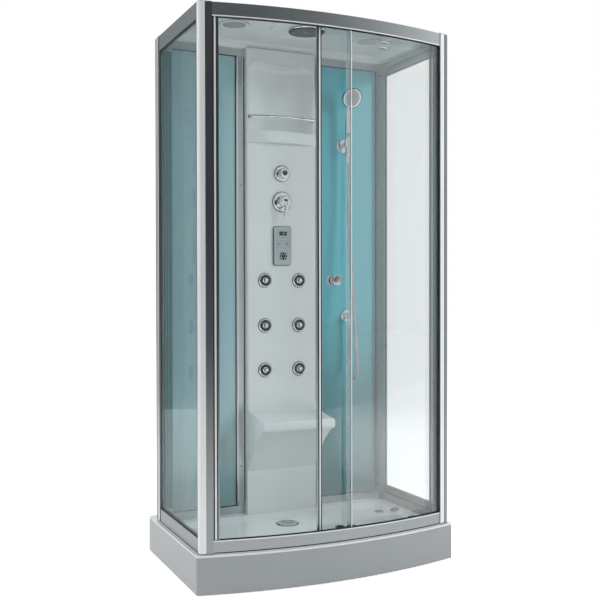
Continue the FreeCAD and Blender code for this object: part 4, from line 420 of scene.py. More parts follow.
postMetal = brushedAluminium("anodisedAluminiumUpright", "Z")
# the front posts get a copy of the same anodised aluminium painted darker, as painted shade
shadedFrontPostMetal = brushedAluminium("anodisedAluminiumFrontShaded", "Z", "#94989B", "#7A7E82")
railMetal = brushedAluminium("anodisedAluminiumAcross", "X")
sideRailMetal = brushedAluminium("anodisedAluminiumDeep", "Y")
# the bottom rails get copies of the same anodised aluminium painted darker, as painted shade
shadedLowRailMetal = brushedAluminium("anodisedAluminiumLowShaded", "X", "#9DA1A3", "#84888B")
shadedLowSideRailMetal = brushedAluminium("anodisedAluminiumLowDeepShaded", "Y", "#8E9294", "#777B7E")
innerMetal = brushedAluminium("anodisedAluminiumInner", "X", "#D2D6D8", "#BFC4C7")
chrome = platedChrome("polishedChromePlate")
darkChrome = platedChrome("blackChromePlate", "#5A5E62", "#3E4145", (0.12, 0.22))
acrylic = formedAcrylic("whiteSanitaryAcrylic")
ceilingAcrylic = formedAcrylic("whiteCeilingAcrylic", "#FAFBFB", "#F1F4F4", 0.012, (0.2, 0.32))
# the left panel is the same teal glass as the right one; this copy is painted paler and greyer, as painted
# light
leftWallGlassPaintedPale = shadedTealWallGlass("backPaintedTealGlassPaintedPale", "#A6CDD6", "#B8D9DF", "#779599")
rightWallGlass = shadedTealWallGlass("backPaintedTealGlass", "#66D6E6", "#46919A", "#33666A")
clearGlass = toughenedGlass("clearToughenedGlass")
coatedGlass = toughenedGlass("coatedToughenedGlass", plain=0.85)
clearVinyl = toughenedGlass("clearVinylSeal", "#F6FAFA", 0.08, 0.8)
# painted highlights: pale strips laid on the frame where light catches its corners and edges
paintedHighlightStrip = sprayedMetal("paintedHighlightStripFinish", "#F1F3F3", "#E6E9E9", 0.0015, (0.3, 0.4), 0.2)
knobMetal = sprayedMetal("satinChromeKnob", "#EDE9EB", "#DCD8DA", 0.002, (0.2, 0.3))
# painted highlights: white strips along the glass and door edges
paintedEdgeHighlight = mouldedPlastic("paintedEdgeHighlightWhite", "#FCFCFC", "#F4F5F5", 0.002, (0.25, 0.35))
sealRubber = extrudedRubber("greyVinylSeal", "#B9C1C4", "#A5ADB1")
# black rubber for seals and bands, and also for the thin black strips laid in grooves, gaps and slots as
# painted shade
blackRubberAndShadeLines = extrudedRubber("blackRubberAndPaintedShade", "#2A2C2E", "#1C1D1F", (0.5, 0.65))
silicone = extrudedRubber("clearSiliconeBead", "#D9DEDF", "#CBD1D3", (0.25, 0.35))
apronPaint = sprayedMetal("silverLacquerApron", "#9CA0A2", "#92979A")
panelPaint = sprayedMetal("silverLacquerPanel", "#BCC4C8", "#AFB7BB", 0.0015, (0.3, 0.4))
keyPlastic = mouldedPlastic("satinKeyPlastic", "#B4BBBF", "#A2A9AE", 0.0012, (0.35, 0.5))
# pale moulded plastic, also used for the painted highlight lines on the control panel's edges
palePlasticAndHighlights = mouldedPlastic("palePlasticAndPaintedHighlights", "#DDE2E4", "#CBD1D4", 0.0012, (0.25, 0.4))
blackPlastic = mouldedPlastic("blackAbs", "#1E2022", "#141516", 0.0015, (0.25, 0.4))
whitePlastic = mouldedPlastic("whiteAbs", "#EEF0F0", "#E0E3E3")
wastePlastic = mouldedPlastic("whitePolypropylene", "#E4E5E2", "#D3D5D1", 0.003, (0.4, 0.55))
tealPlastic = mouldedPlastic("greyTealVinyl", "#5F8B8F", "#4C7579", 0.002, (0.35, 0.5))
nylon = mouldedPlastic("turnedNylon", "#DCDDD8", "#CDCEC8", 0.001, (0.35, 0.5))
zinc = zincSteel("galvanisedSteelTube")
boilerPaint = sprayedMetal("powderCoatedSteel", "#D4D7D8", "#C6CACB", 0.002, (0.4, 0.55), 0.0)
brass = castBrass("castBrassValve")
paleDigits = litDisplay("backlitDigits", "#B4CDD2", 0.25)
redMark = mouldedPlastic("redEnamelMark", "#C23A33", "#A8302A", 0.001, (0.2, 0.3))
blueMark = mouldedPlastic("blueEnamelMark", "#2F62B5", "#27539C", 0.001, (0.2, 0.3))

print("stage 3: CAD pieces get their finish")

edgeAngle = 40  # degrees: edges sharper than this are rounded
smoothAngle = 32  # degrees: edges flatter than this are shaded smooth

nodeFinish = {
    "tray_basin": acrylic, "column": acrylic, "roof": ceilingAcrylic, "tray_skirt": apronPaint,
    "under_frame": zinc, "waste_trap": wastePlastic, "drain_cover": chrome, "floor_jets": darkChrome,
    "front_post_left": shadedFrontPostMetal, "front_post_right": shadedFrontPostMetal, "back_post_left": postMetal,
    "back_post_right": postMetal, "front_rail_top": railMetal, "front_rail_bottom": shadedLowRailMetal,
    "side_rail_top_left": sideRailMetal, "side_rail_bottom_left": shadedLowSideRailMetal,
    "side_rail_top_right": sideRailMetal, "side_rail_bottom_right": shadedLowSideRailMetal,
    "back_rail_top": innerMetal, "back_rail_bottom": innerMetal, "column_trims": postMetal,
    "side_glass_left": coatedGlass, "side_glass_right": clearGlass, "front_glass": clearGlass,
    "door_glass": clearGlass, "front_seals": clearVinyl, "door_profiles": postMetal,
    "back_panel_left": leftWallGlassPaintedPale, "back_panel_right": rightWallGlass, "towel_rail": chrome,
    "jet_housings": chrome, "control_panel": panelPaint, "nav_pad": palePlasticAndHighlights,
    "key_left": keyPlastic, "key_right": keyPlastic, "valve_rosettes": chrome,
    "diverter_knob": chrome, "mixer_body": chrome, "mixer_lever": chrome,
    "shower_bracket": chrome, "shower_cradle": chrome, "hand_shower": chrome,
    "hose_outlet": chrome, "door_knob": knobMetal, "door_carriers": chrome,
    "wheel_left": nylon, "wheel_right": nylon, "rain_head": darkChrome,
    "fan_housing": whitePlastic, "fan_impeller": blackPlastic, "ceiling_fittings": whitePlastic,
    "steam_generator": boilerPaint, "supply_manifold": brass,
}
for number in range(1, 7):
    nodeFinish["jet_nozzle_%d" % number] = chrome

softEdges = {  # rounding of the extrusions' long edges, in metres
    "front_post_left": 0.0012, "front_post_right": 0.0012, "back_post_left": 0.001,
    "back_post_right": 0.001, "side_rail_top_left": 0.0008, "side_rail_bottom_left": 0.0008,
    "side_rail_top_right": 0.0008, "side_rail_bottom_right": 0.0008, "steam_generator": 0.001,
}


def smoothMesh(mesh):
    mesh.polygons.foreach_set("use_smooth", [True] * len(mesh.polygons))
    mesh.set_sharp_from_angle(angle=math.radians(smoothAngle))


def roundEdges(piece, width):
    bevel = piece.modifiers.new("rounding", "BEVEL")
    bevel.width = width
    bevel.segments = 2
    bevel.limit_method = "ANGLE"
    bevel.angle_limit = math.radians(edgeAngle)
    return bevel


def finishNodes():
    for name, material in nodeFinish.items():
        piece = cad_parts[name]
        if not piece.material_slots:
            piece.data.materials.append(material)
        for holder in piece.material_slots:
            holder.material = material
        smoothMesh(piece.data)
        if name in softEdges:
            roundEdges(piece, softEdges[name]).harden_normals = True


finishNodes()

print("stage 4: shower hose")

showerHose = {
    "diameter": 0.014,
    "length": 1.29,
    "points": [(0.314, 0.182, 1.690), (0.314, 0.182, 1.560), (0.315, 0.170, 1.380),
               (0.314, 0.150, 1.195), (0.315, 0.128, 1.010), (0.314, 0.110, 0.872),
               (0.315, 0.101, 0.785), (0.317, 0.101, 0.732), (0.321, 0.148, 0.704),
               (0.326, 0.195, 0.732), (0.329, 0.196, 0.800), (0.331, 0.195, 0.885),
               (0.332, 0.195, 0.962)],
    "ribPitch": 0.0035,
}


def ribbedHoseMetal():
    # wound steel strip: each turn of the spiral is a bright rib, and the colour is painted darker into its
    # root as painted shade
    material, tree = startMaterial("woundChromeHose")
    along = addNode(tree, "ShaderNodeSeparateXYZ",
                    links={"Vector": addNode(tree, "ShaderNodeTexCoord").outputs["UV"]}).outputs["X"]
    turns = showerHose["length"] / showerHose["ribPitch"]
    phase = addNode(tree, "ShaderNodeMath", {"operation": "MULTIPLY", 1: turns * 2 * math.pi}, {0: along})
    wave = addNode(tree, "ShaderNodeMath", {"operation": "SINE"}, {0: phase.outputs[0]})
    height = rangeOf(tree, wave.outputs[0], 0.0, 1.0)
    bump = addNode(tree, "ShaderNodeBump", {"Strength": 0.5, "Distance": 0.0008}, {"Height": height})
    # painted shade: the base colour darkens from the crest of each rib into its root
    shader = addNode(tree, "ShaderNodeBsdfPrincipled", {"Metallic": 1.0}, {
        "Base Color": blendColours(tree, height, "#84898D", "#DCE0E2"),
        "Roughness": rangeOf(tree, height, 0.28, 0.12), "Normal": bump.outputs[0]})
    finishMaterial(tree, shader)
    return material


def hangHose():
    curve = bpy.data.curves.new("showerHose", "CURVE")
    curve.dimensions = "3D"
    spline = curve.splines.new("NURBS")
    spline.points.add(len(showerHose["points"]) - 1)
    for point, place in zip(spline.points, showerHose["points"]):
        point.co = (*place, 1)
    spline.order_u = 3
    spline.use_endpoint_u = True
    spline.resolution_u = 14
    curve.bevel_depth = showerHose["diameter"] / 2
    curve.bevel_resolution = 6
    curve.use_fill_caps = True
    curve.materials.append(ribbedHoseMetal())
    hose = bpy.data.objects.new("showerHose", curve)
    scene.collection.objects.link(hose)
    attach(hose, "cabin")
    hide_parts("hose")


hangHose()

print("stage 5: modelling helpers")

bowStep = 0.5  # degrees between two corners of a bowed strip


def settle(name, mesh, material, body, bevel):
    piece = bpy.data.objects.new(name, mesh)
    scene.collection.objects.link(piece)
    mesh.materials.append(material)
    smoothMesh(mesh)
    if bevel:
        roundEdges(piece, bevel)
    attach(piece, body)


def addTurned(name, profile, places, segments, material, body="cabin", bevel=0.0):
    # the profile holds (radius, height) pairs, and each place a foot and the way up from it
    vertices, faces = [], []
    for origin, direction in places:
        origin, direction = Vector(origin), Vector(direction).normalized()
        side = direction.orthogonal().normalized()
        other = direction.cross(side)
        first = len(vertices)
        for radius, height in profile:
            for step in range(segments):
                angle = 2 * math.pi * step / segments
                vertices.append(origin + direction * height
                                + (side * math.cos(angle) + other * math.sin(angle)) * radius)
        for ring in range(len(profile) - 1):
            for step in range(segments):
                a = first + ring * segments + step
                b = first + ring * segments + (step + 1) % segments
                faces.append((a, b, b + segments, a + segments))
        faces.append(tuple(first + step for step in reversed(range(segments))))
        last = first + (len(profile) - 1) * segments
        faces.append(tuple(last + step for step in range(segments)))
    mesh = bpy.data.meshes.new(name)
    mesh.from_pydata(vertices, [], faces)
    settle(name, mesh, material, body, bevel)


def addBars(name, bars, material, body="cabin", bevel=0.0):
    shape = bmesh.new()
    for low, high in bars:
        low, high = Vector(low), Vector(high)
        made = bmesh.ops.create_cube(shape, size=1.0)["verts"]
        for vertex in made:
            vertex.co = Vector(((low[i] + high[i]) / 2 + vertex.co[i] * (high[i] - low[i]))
                               for i in range(3))
    mesh = bpy.data.meshes.new(name)
    shape.to_mesh(mesh)
    shape.free()
    settle(name, mesh, material, body, bevel)


def bowTurn(x, radius):  # degrees round the bow to a place this far from the middle
    return math.degrees(math.asin(x / radius))


def arcTurn(length, radius):  # degrees that a length takes up round the bow
    return math.degrees(length / radius)


def bowPoint(radius, degrees, z):
    angle = math.radians(degrees)
    return Vector((radius * math.sin(angle), cabinLines["bowCentre"] - radius * math.cos(angle), z))


def addBowed(name, strips, material, body="cabin", bevel=0.0):
    vertices, faces = [], []
    for outer, inner, low, high, start, end in strips:
        count = max(1, math.ceil((end - start) / bowStep))
        first = len(vertices)
        for number in range(count + 1):
            degrees = start + (end - start) * number / count
            vertices += [bowPoint(outer, degrees, low), bowPoint(inner, degrees, low),
                         bowPoint(inner, degrees, high), bowPoint(outer, degrees, high)]
        for number in range(count):
            a = first + 4 * number
            for corner in range(4):
                other = (corner + 1) % 4
                faces.append((a + corner, a + 4 + corner, a + 4 + other, a + other))
        faces.append((first, first + 1, first + 2, first + 3))
        last = first + 4 * count
        faces.append((last + 3, last + 2, last + 1, last))
    mesh = bpy.data.meshes.new(name)
    mesh.from_pydata(vertices, [], faces)
    mesh.update()
    shape = bmesh.new()
    shape.from_mesh(mesh)
    bmesh.ops.recalc_face_normals(shape, faces=shape.faces)
    shape.to_mesh(mesh)
    shape.free()
    settle(name, mesh, material, body, bevel)


def addStamped(name, outlines, origin, up, thick, material, body="cabin", bevel=0.0):
    # flat shapes with a thickness: their corners run along X and along the given way up
    origin, right, up = Vector(origin), Vector((1, 0, 0)), Vector(up)
    out = right.cross(up).normalized()
    shape = bmesh.new()
    for outline in outlines:
        low = [shape.verts.new(origin + right * x + up * y) for x, y in outline]
        high = [shape.verts.new(origin + right * x + up * y + out * thick) for x, y in outline]
        shape.faces.new(high)
        shape.faces.new(list(reversed(low)))
        for step in range(len(outline)):
            after = (step + 1) % len(outline)
            shape.faces.new((low[step], low[after], high[after], high[step]))
    bmesh.ops.recalc_face_normals(shape, faces=shape.faces)
    mesh = bpy.data.meshes.new(name)
    shape.to_mesh(mesh)
    shape.free()
    settle(name, mesh, material, body, bevel)


def boxOutline(x0, y0, x1, y1):
    return [(x0, y0), (x1, y0), (x1, y1), (x0, y1)]


def roundOutline(x, y, radius, count):
    return [(x + radius * math.cos(2 * math.pi * n / count),
             y + radius * math.sin(2 * math.pi * n / count)) for n in range(count)]


def ringOutline(x, y, outer, inner, turns):  # part of a ring, out along one edge and back along the other
    return ([(x + outer * math.cos(a), y + outer * math.sin(a)) for a in turns]
            + [(x + inner * math.cos(a), y + inner * math.sin(a)) for a in reversed(turns)])


def sideSpan(sign, near, far):  # from and to in X on the left side (-1) or the right side (1)
    return sorted((sign * near, sign * far))


print("stage 6: glazing rubbers and frame trim")

sideRubber = {
    "width": 0.005, "low": 0.203, "high": 2.085, "rounding": 0.0004,
    "faces": {  # the glass face, how far the rubber stands out, its front and back end
        "Outer": (0.533, 0.0012, -0.257, 0.220, blackRubberAndShadeLines),
        "Inner": (0.527, -0.0012, -0.231, 0.208, sealRubber),
    },
}


def sideGlazing():
    width, low, high = sideRubber["width"], sideRubber["low"], sideRubber["high"]
    for sign, side in ((-1, "Left"), (1, "Right")):
        for face, (x, proud, front, back, material) in sideRubber["faces"].items():
            near, far = sideSpan(sign, x, x + proud)
            bars = [((near, front, low), (far, front + width, high)),
                    ((near, back - width, low), (far, back, high)),
                    ((near, front + width, low), (far, back - width, low + width)),
                    ((near, front + width, high - width), (far, back - width, high))]
            addBars("sideGlazing" + face + side, bars, material, bevel=sideRubber["rounding"])


frontRubber = {
    "width": 0.004, "proud": 0.0012, "rounding": 0.0004,
    "freeEdge": 0.057, "postEdge": 0.4868,  # from the middle
    "postStrip": 0.11,  # in degrees, as are the painted shade line's width and the painted highlight strip's gap
    "edgeWidth": 0.006, "edgeInset": 0.002, "edgeSeat": 0.0013,
    "line": {"proud": 0.0022, "width": 0.05, "rounding": 0.0003},
    "bright": {"proud": 0.0024, "gap": 0.06},
}


def frontGlazing():
    width, rounding = frontRubber["width"], frontRubber["rounding"]
    outer = cabinLines["frontGlassRadius"]
    low, high = cabinLines["bottomRailTop"], cabinLines["topRailLow"]
    start, end = bowTurn(frontRubber["freeEdge"], outer), bowTurn(frontRubber["postEdge"], outer)
    proud = outer + frontRubber["proud"]
    strips = [(proud, outer, low, low + width, start, end), (proud, outer, high - width, high, start, end),
              (proud, outer, low + width, high - width, end - frontRubber["postStrip"], end)]
    addBowed("frontGlazing", strips, blackRubberAndShadeLines, bevel=rounding)
    # painted shade and highlight at the fixed glass's free edge: a black line and a pale strip
    edge = start - arcTurn(frontRubber["edgeWidth"], outer)
    tall = (low + frontRubber["edgeInset"], high - frontRubber["edgeInset"])
    seat, line, bright = outer + frontRubber["edgeSeat"], frontRubber["line"], frontRubber["bright"]
    addBowed("fixedEdgePaintedShade", [(outer + line["proud"], seat, *tall, edge, edge + line["width"])],
             blackRubberAndShadeLines, bevel=line["rounding"])
    addBowed("fixedEdgePaintedHighlight", [(outer + bright["proud"], seat, *tall, edge + bright["gap"], start)],
             paintedEdgeHighlight, bevel=rounding)


# Painted shade and highlight along the open door's edge: two dark lines with a bright one between them.
doorEdge = {
    "seat": 0.0023, "low": 0.162, "high": 2.126,
    "lead": 0.05,  # degrees that the lines start before the glass
    "dark": ((0, 4.6), (11.2, 15.6)), "darkProud": 0.0008, "darkRounding": 0.0003,  # along in millimetres
    "bright": (4.8, 11), "brightProud": 0.0012, "brightRounding": 0.0005,
}


def doorEdgePaintedLines():
    outer = cabinLines["doorRadius"] + doorEdge["seat"]
    start, turn = cabinLines["doorRest"] - doorEdge["lead"], arcTurn(0.001, outer)
    low, high = doorEdge["low"], doorEdge["high"]
    strips = [(outer + doorEdge["darkProud"], outer, low, high, start + near * turn, start + far * turn)
              for near, far in doorEdge["dark"]]
    addBowed("doorEdgePaintedLines", strips, blackRubberAndShadeLines, body="door", bevel=doorEdge["darkRounding"])
    near, far = doorEdge["bright"]
    strip = (outer + doorEdge["brightProud"], outer, low, high, start + near * turn, start + far * turn)
    addBowed("doorEdgePaintedHighlight", [strip], paintedEdgeHighlight, "door", doorEdge["brightRounding"])


wallRubber = {"width": 0.003, "proud": 0.0008, "inner": 0.1972, "outer": 0.4868,
              "low": 0.178, "high": 2.104, "rounding": 0.0002}


def wallGlazing():
    width, low, high = wallRubber["width"], wallRubber["low"], wallRubber["high"]
    inner, outer, back = wallRubber["inner"], wallRubber["outer"], cabinLines["wallFace"]
    bars = []
    for sign in (-1, 1):
        for span, z0, z1 in (((inner, inner + width), low, high), ((outer, outer - width), low, high),
                             ((inner, outer), low, low + width), ((inner, outer), high - width, high)):
            near, far = sideSpan(sign, *span)
            bars.append(((near, back - wallRubber["proud"], z0), (far, back, z1)))
    addBars("wallGlazing", bars, blackRubberAndShadeLines, bevel=wallRubber["rounding"])


siliconeBead = {"height": 0.0035, "width": 0.003, "sideFaces": (0.537, 0.540),
                "sideEnds": (-0.262, 0.270), "rounding": 0.0015}


def siliconeBeads():
    rim, rounding = cabinLines["rimTop"], siliconeBead["rounding"]
    top, outer = rim + siliconeBead["height"], cabinLines["bowRadius"]
    edge = bowTurn(cabinLines["postInner"], outer)
    strip = (outer + siliconeBead["width"], outer, rim, top, -edge, edge)
    addBowed("frontBead", [strip], silicone, bevel=rounding)
    front, back = siliconeBead["sideEnds"]
    bars = []
    for sign in (-1, 1):
        near, far = sideSpan(sign, *siliconeBead["sideFaces"])
        bars.append(((near, front, rim), (far, back, top)))
    addBars("sideBeads", bars, silicone, bevel=rounding)


# Painted highlights and painted shade on the front posts: bright strips where light catches the rounded
# corners, dark strips where shade falls in the grooves.
postTrim = {
    "low": 0.150, "high": 2.1445, "rounding": 0.0003, "proud": 0.0007,
    "right": (("dark", 0.2, 3.8), ("bright", 4.0, 26.0), ("dark", 26.2, 29.0)),  # in millimetres
    "rightSunk": 0.0004,
    "leftBand": (0.5262, 0.5125), "bandSunk": 0.0003,  # the painted highlight band and the painted shade and highlight jamb lines: metres from the middle
    "jambBack": 0.005, "jambGap": 0.0006, "jambProud": 0.0012, "jambSunk": 0.0003,
    "jamb": (("dark", 0.4845, 0.4802), ("bright", 0.4798, 0.4730), ("dark", 0.4726, 0.4684)),
    "roundCentre": (-0.522, -0.2653), "round": 0.015, "roundTurns": range(176, 257, 8),
}


def trimPosts():
    outer, low, high = cabinLines["bowRadius"], postTrim["low"], postTrim["high"]
    proud, sunk, rounding = postTrim["proud"], postTrim["bandSunk"], postTrim["rounding"]
    first, turn = bowTurn(cabinLines["postInner"], outer), arcTurn(0.001, outer)
    strips = {"dark": [], "bright": []}
    for tone, near, far in postTrim["right"]:
        strips[tone].append((outer + proud, outer - postTrim["rightSunk"], low, high,
                             first + near * turn, first + far * turn))
    band = [-bowTurn(x, outer) for x in postTrim["leftBand"]]
    strips["bright"].append((outer + proud, outer - sunk, low, high, *band))
    jamb = outer - postTrim["jambBack"]
    bottom = cabinLines["bottomRailTop"] + postTrim["jambGap"]
    top = cabinLines["topRailLow"] - postTrim["jambGap"]
    for tone, near, far in postTrim["jamb"]:
        strips[tone].append((jamb + postTrim["jambProud"], jamb - postTrim["jambSunk"], bottom, top,
                             -bowTurn(near, jamb), -bowTurn(far, jamb)))
    addBowed("postPaintedHighlights", strips["bright"], paintedHighlightStrip, bevel=rounding)
    addBowed("postPaintedShade", strips["dark"], blackRubberAndShadeLines, bevel=rounding)
    turns = [math.radians(degrees) for degrees in postTrim["roundTurns"]]
    radius = postTrim["round"]
    outline = ringOutline(*postTrim["roundCentre"], radius + proud, radius - sunk, turns)
    addStamped("cornerPaintedHighlight", [outline], (0, 0, low), (0, 1, 0), high - low, paintedHighlightStrip)


# the back posts' dark lines are painted shade in their grooves, and the bright lines between them are painted
# highlights
backPostTrim = {
    "seat": -0.5368, "rounding": 0.0003,
    "lines": (("backPostPaintedShade", -0.5378, ((0.266, 0.2755), (0.2225, 0.233)), blackRubberAndShadeLines, "seal"),
              ("backPostPaintedHighlight", -0.5380, ((0.2565, 0.2645), (0.2345, 0.2435)), paintedHighlightStrip,
               "satin_silver")),
    "inside": (0.205, 2.083),  # heights of the cover and its ribs
    "cover": {"across": (0.4885, 0.5262), "front": 0.2066, "back": 0.2079, "rounding": 0.0004},
    "rib": {"places": (-0.5245, -0.512, -0.4985, 0.4905, 0.503, 0.5195), "width": 0.0022,
            "front": 0.2058, "back": 0.2068, "rounding": 0.0002},
}


def trimBackPost():
    low, high, seat = postTrim["low"], postTrim["high"], backPostTrim["seat"]
    for name, face, spans, material, slotName in backPostTrim["lines"]:
        bars = [((face, y0, low), (seat, y1, high)) for y0, y1 in spans]
        addBars(name, bars, material, bevel=backPostTrim["rounding"])
    (low, high), cover, rib = backPostTrim["inside"], backPostTrim["cover"], backPostTrim["rib"]
    bars = []
    for sign in (-1, 1):
        near, far = sideSpan(sign, *cover["across"])
        bars.append(((near, cover["front"], low), (far, cover["back"], high)))
    addBars("backPostCover", bars, tealPlastic, bevel=cover["rounding"])
    bars = [((x, rib["front"], low), (x + rib["width"], rib["back"], high)) for x in rib["places"]]
    addBars("backPostRibs", bars, blackRubberAndShadeLines, bevel=rib["rounding"])


# Painted highlights along the rails' edges, and black lines as painted shade in the joints above the rim and
# behind the glass.
railTrim = {
    "postEdge": 0.4866, "freeEdge": 0.050,  # from the middle
    "bright": {"proud": 0.0006, "sunk": 0.0016, "width": 0.0036, "lip": 0.0005, "rounding": 0.0005},
    "foot": {"proud": 0.0005, "sunk": 0.0004, "low": 0.0036, "high": 0.0072},
    "inner": {"front": 0.010, "back": 0.018, "width": 0.003, "lip": 0.0022, "rounding": 0.0004},
}


def trimRails():
    outer, rim = cabinLines["bowRadius"], cabinLines["rimTop"]
    low, high = cabinLines["bottomRailTop"], cabinLines["topRailLow"]
    bright, foot, inner = railTrim["bright"], railTrim["foot"], railTrim["inner"]
    edge, free = bowTurn(railTrim["postEdge"], outer), bowTurn(railTrim["freeEdge"], outer)
    front, back = outer + bright["proud"], outer - bright["sunk"]
    strips = [(front, back, low - bright["width"], low + bright["lip"], -edge, edge),
              (front, back, high - bright["lip"], high + bright["width"], -edge, edge)]
    addBowed("railPaintedHighlights", strips, paintedHighlightStrip, bevel=bright["rounding"])
    strips = [(outer + foot["proud"], outer - foot["sunk"], rim + foot["low"], rim + foot["high"],
               -edge, edge)]
    front, back = outer - inner["front"], outer - inner["back"]
    strips += [(front, back, low - inner["width"], low + inner["lip"], -edge, free),
               (front, back, high - inner["lip"], high + inner["width"], -edge, free)]
    addBowed("railPaintedShade", strips, blackRubberAndShadeLines, bevel=inner["rounding"])


# Painted shade and highlights down the column's edges: a dark line and two bright ones on each side.
columnTrim = {
    "low": 0.20, "high": 2.100, "back": 0.2262, "rounding": 0.0002,
    "lines": (("columnPaintedShade", 0.2252, ((0.1624, 0.1664),), blackRubberAndShadeLines, "seal"),
              ("columnPaintedHighlights", 0.2248, ((0.1672, 0.1702), (0.1915, 0.1945)), paintedHighlightStrip,
               "satin_silver")),
}


def trimColumn():
    low, high, back = columnTrim["low"], columnTrim["high"], columnTrim["back"]
    for name, front, spans, material, slotName in columnTrim["lines"]:
        bars = []
        for sign in (-1, 1):
            for span in spans:
                near, far = sideSpan(sign, *span)
                bars.append(((near, front, low), (far, back, high)))
        addBars(name, bars, material, bevel=columnTrim["rounding"])


postCaps = {
    "height": 0.0035, "rounding": 0.001,
    "front": ((0.488, -0.2885), (0.5215, -0.2795), (0.5335, -0.272), (0.5355, -0.262), (0.5242, -0.262),
              (0.5228, -0.2672), (0.488, -0.2762)),
    "back": ((0.488, 0.266), (0.5225, 0.266), (0.5225, 0.222), (0.5355, 0.222), (0.5355, 0.272),
             (0.530, 0.2765), (0.488, 0.2765)),
}


def capPosts():
    for sign, side in ((-1, "Left"), (1, "Right")):
        outlines = [[(sign * x, y) for x, y in postCaps[end]] for end in ("front", "back")]
        addStamped("postCaps" + side, outlines, (0, 0, cabinLines["frameTop"]), (0, 1, 0),
                   postCaps["height"], keyPlastic, bevel=postCaps["rounding"])


screwHead = {"radius": 0.0042, "height": 0.0016, "slotReach": 0.62, "slotWidth": 0.0011,
             "slotHalfDepth": 0.00025, "slotLift": 0.00005}


def driveScrews(name, places, material=chrome):
    radius, height = screwHead["radius"], screwHead["height"]
    profile = [(radius, 0.0), (radius, 0.25 * height), (0.86 * radius, 0.62 * height),
               (0.6 * radius, 0.86 * height), (0.3 * radius, height)]
    addTurned(name, profile, places, 20, material)
    bars = []
    for origin, direction in places:
        origin, direction = Vector(origin), Vector(direction).normalized()
        centre = origin + direction * (height + screwHead["slotLift"])
        axis = max(range(3), key=lambda i: abs(direction[i]))
        for turned in [i for i in range(3) if i != axis]:
            half = Vector((screwHead["slotReach"] * radius,) * 3)
            half[axis] = screwHead["slotHalfDepth"]
            half[turned] = screwHead["slotWidth"] / 2
            bars.append((centre - half, centre + half))
    # painted shade: each slot is a black bar standing on the head in place of the shade in a groove
    addBars(name + "SlotShade", bars, blackRubberAndShadeLines)


screwPlaces = {
    "postHeights": (0.215, 0.75, 1.4, 2.05), "frontPost": -0.245, "backPost": 0.222,
    "rail": 0.505, "railDepths": (-0.15, 0.0, 0.15), "railHeights": (2.123, 0.16),
    "trim": (0.18, 0.226), "trimHeights": (0.35, 0.95, 1.55, 1.98),
    "rear": 0.278, "rearPlaces": (-0.44, -0.25, 0.25, 0.44), "rearHeights": (0.161, 2.124),
}


def frameScrews():
    post, rail, (trim, trimFace) = cabinLines["postInner"], screwPlaces["rail"], screwPlaces["trim"]
    places = []
    for sign in (-1, 1):
        for z in screwPlaces["postHeights"]:
            if sign > 0:  # the left front post has the painted jamb lines there instead
                places.append(((post, screwPlaces["frontPost"], z), (-1, 0, 0)))
            places.append(((sign * post, screwPlaces["backPost"], z), (-sign, 0, 0)))
        places += [((sign * rail, y, z), (-sign, 0, 0))
                   for y in screwPlaces["railDepths"] for z in screwPlaces["railHeights"]]
        places += [((sign * trim, trimFace, z), (0, -1, 0)) for z in screwPlaces["trimHeights"]]
    driveScrews("frameScrews", places)
    places = [((x, screwPlaces["rear"], z), (0, 1, 0))
              for x in screwPlaces["rearPlaces"] for z in screwPlaces["rearHeights"]]
    driveScrews("rearScrews", places, zinc)


sideGlazing()
frontGlazing()
doorEdgePaintedLines()
wallGlazing()
siliconeBeads()
trimPosts()
trimBackPost()
trimRails()
trimColumn()
capPosts()
frameScrews()

print("stage 7: ceiling")

up, down, outward, rearward = (0, 0, 1), (0, 0, -1), (0, -1, 0), (0, 1, 0)

rainHead = {
    "centre": (0.0, -0.055), "drop": 0.009,
    "rings": ((0.011, 6), (0.022, 12), (0.034, 18), (0.045, 24), (0.056, 30)),  # radius and nozzles
    "nozzle": [(0.0026, -0.0002), (0.00234, 0.0008), (0.001612, 0.0022), (0.00078, 0.0024)],
    "rim": [(0.0742, 0.001), (0.0752, 0.003), (0.0752, 0.0058), (0.0735, 0.0078), (0.0725, 0.0078),
            (0.0725, 0.001)],
    "disc": [(0.0075, 0.0), (0.0072, 0.0012), (0.005, 0.002), (0.001, 0.0023)],
}


def rainNozzles():
    z = cabinLines["ceiling"] - rainHead["drop"]
    x0, y0 = rainHead["centre"]
    places = []
    for radius, count in rainHead["rings"]:
        for number in range(count):
            angle = 2 * math.pi * (number + 0.5 * (count % 12 == 0)) / count  # rings alternate
            places.append(((x0 + radius * math.cos(angle), y0 + radius * math.sin(angle), z), down))
    addTurned("rainNozzles", rainHead["nozzle"], places, 10, sealRubber)
    rim = (x0, y0, cabinLines["ceiling"])
    addTurned("rainRim", rainHead["rim"], [(rim, down)], 64, chrome)
    addTurned("rainCentre", rainHead["disc"], [((x0, y0, z), down)], 24, chrome)


ceilingLamp = {
    "places": ((0.383, -0.025), (0.425, 0.055)),
    "ring": [(0.0222, 0.0), (0.0222, 0.0016), (0.0205, 0.0044), (0.0178, 0.0056), (0.0155, 0.0056),
             (0.0148, 0.0044), (0.0148, 0.0005)],
    "lens": [(0.0147, 0.001), (0.0147, 0.0022), (0.011, 0.0034), (0.006, 0.004), (0.001, 0.0042)],
    "eye": [(0.0022, 0.0), (0.0018, 0.0007), (0.0006, 0.0011)],
    "eyeRing": 0.005, "eyeTurns": (0.3, 2.4, 4.5), "eyeDrop": 0.0036,
}


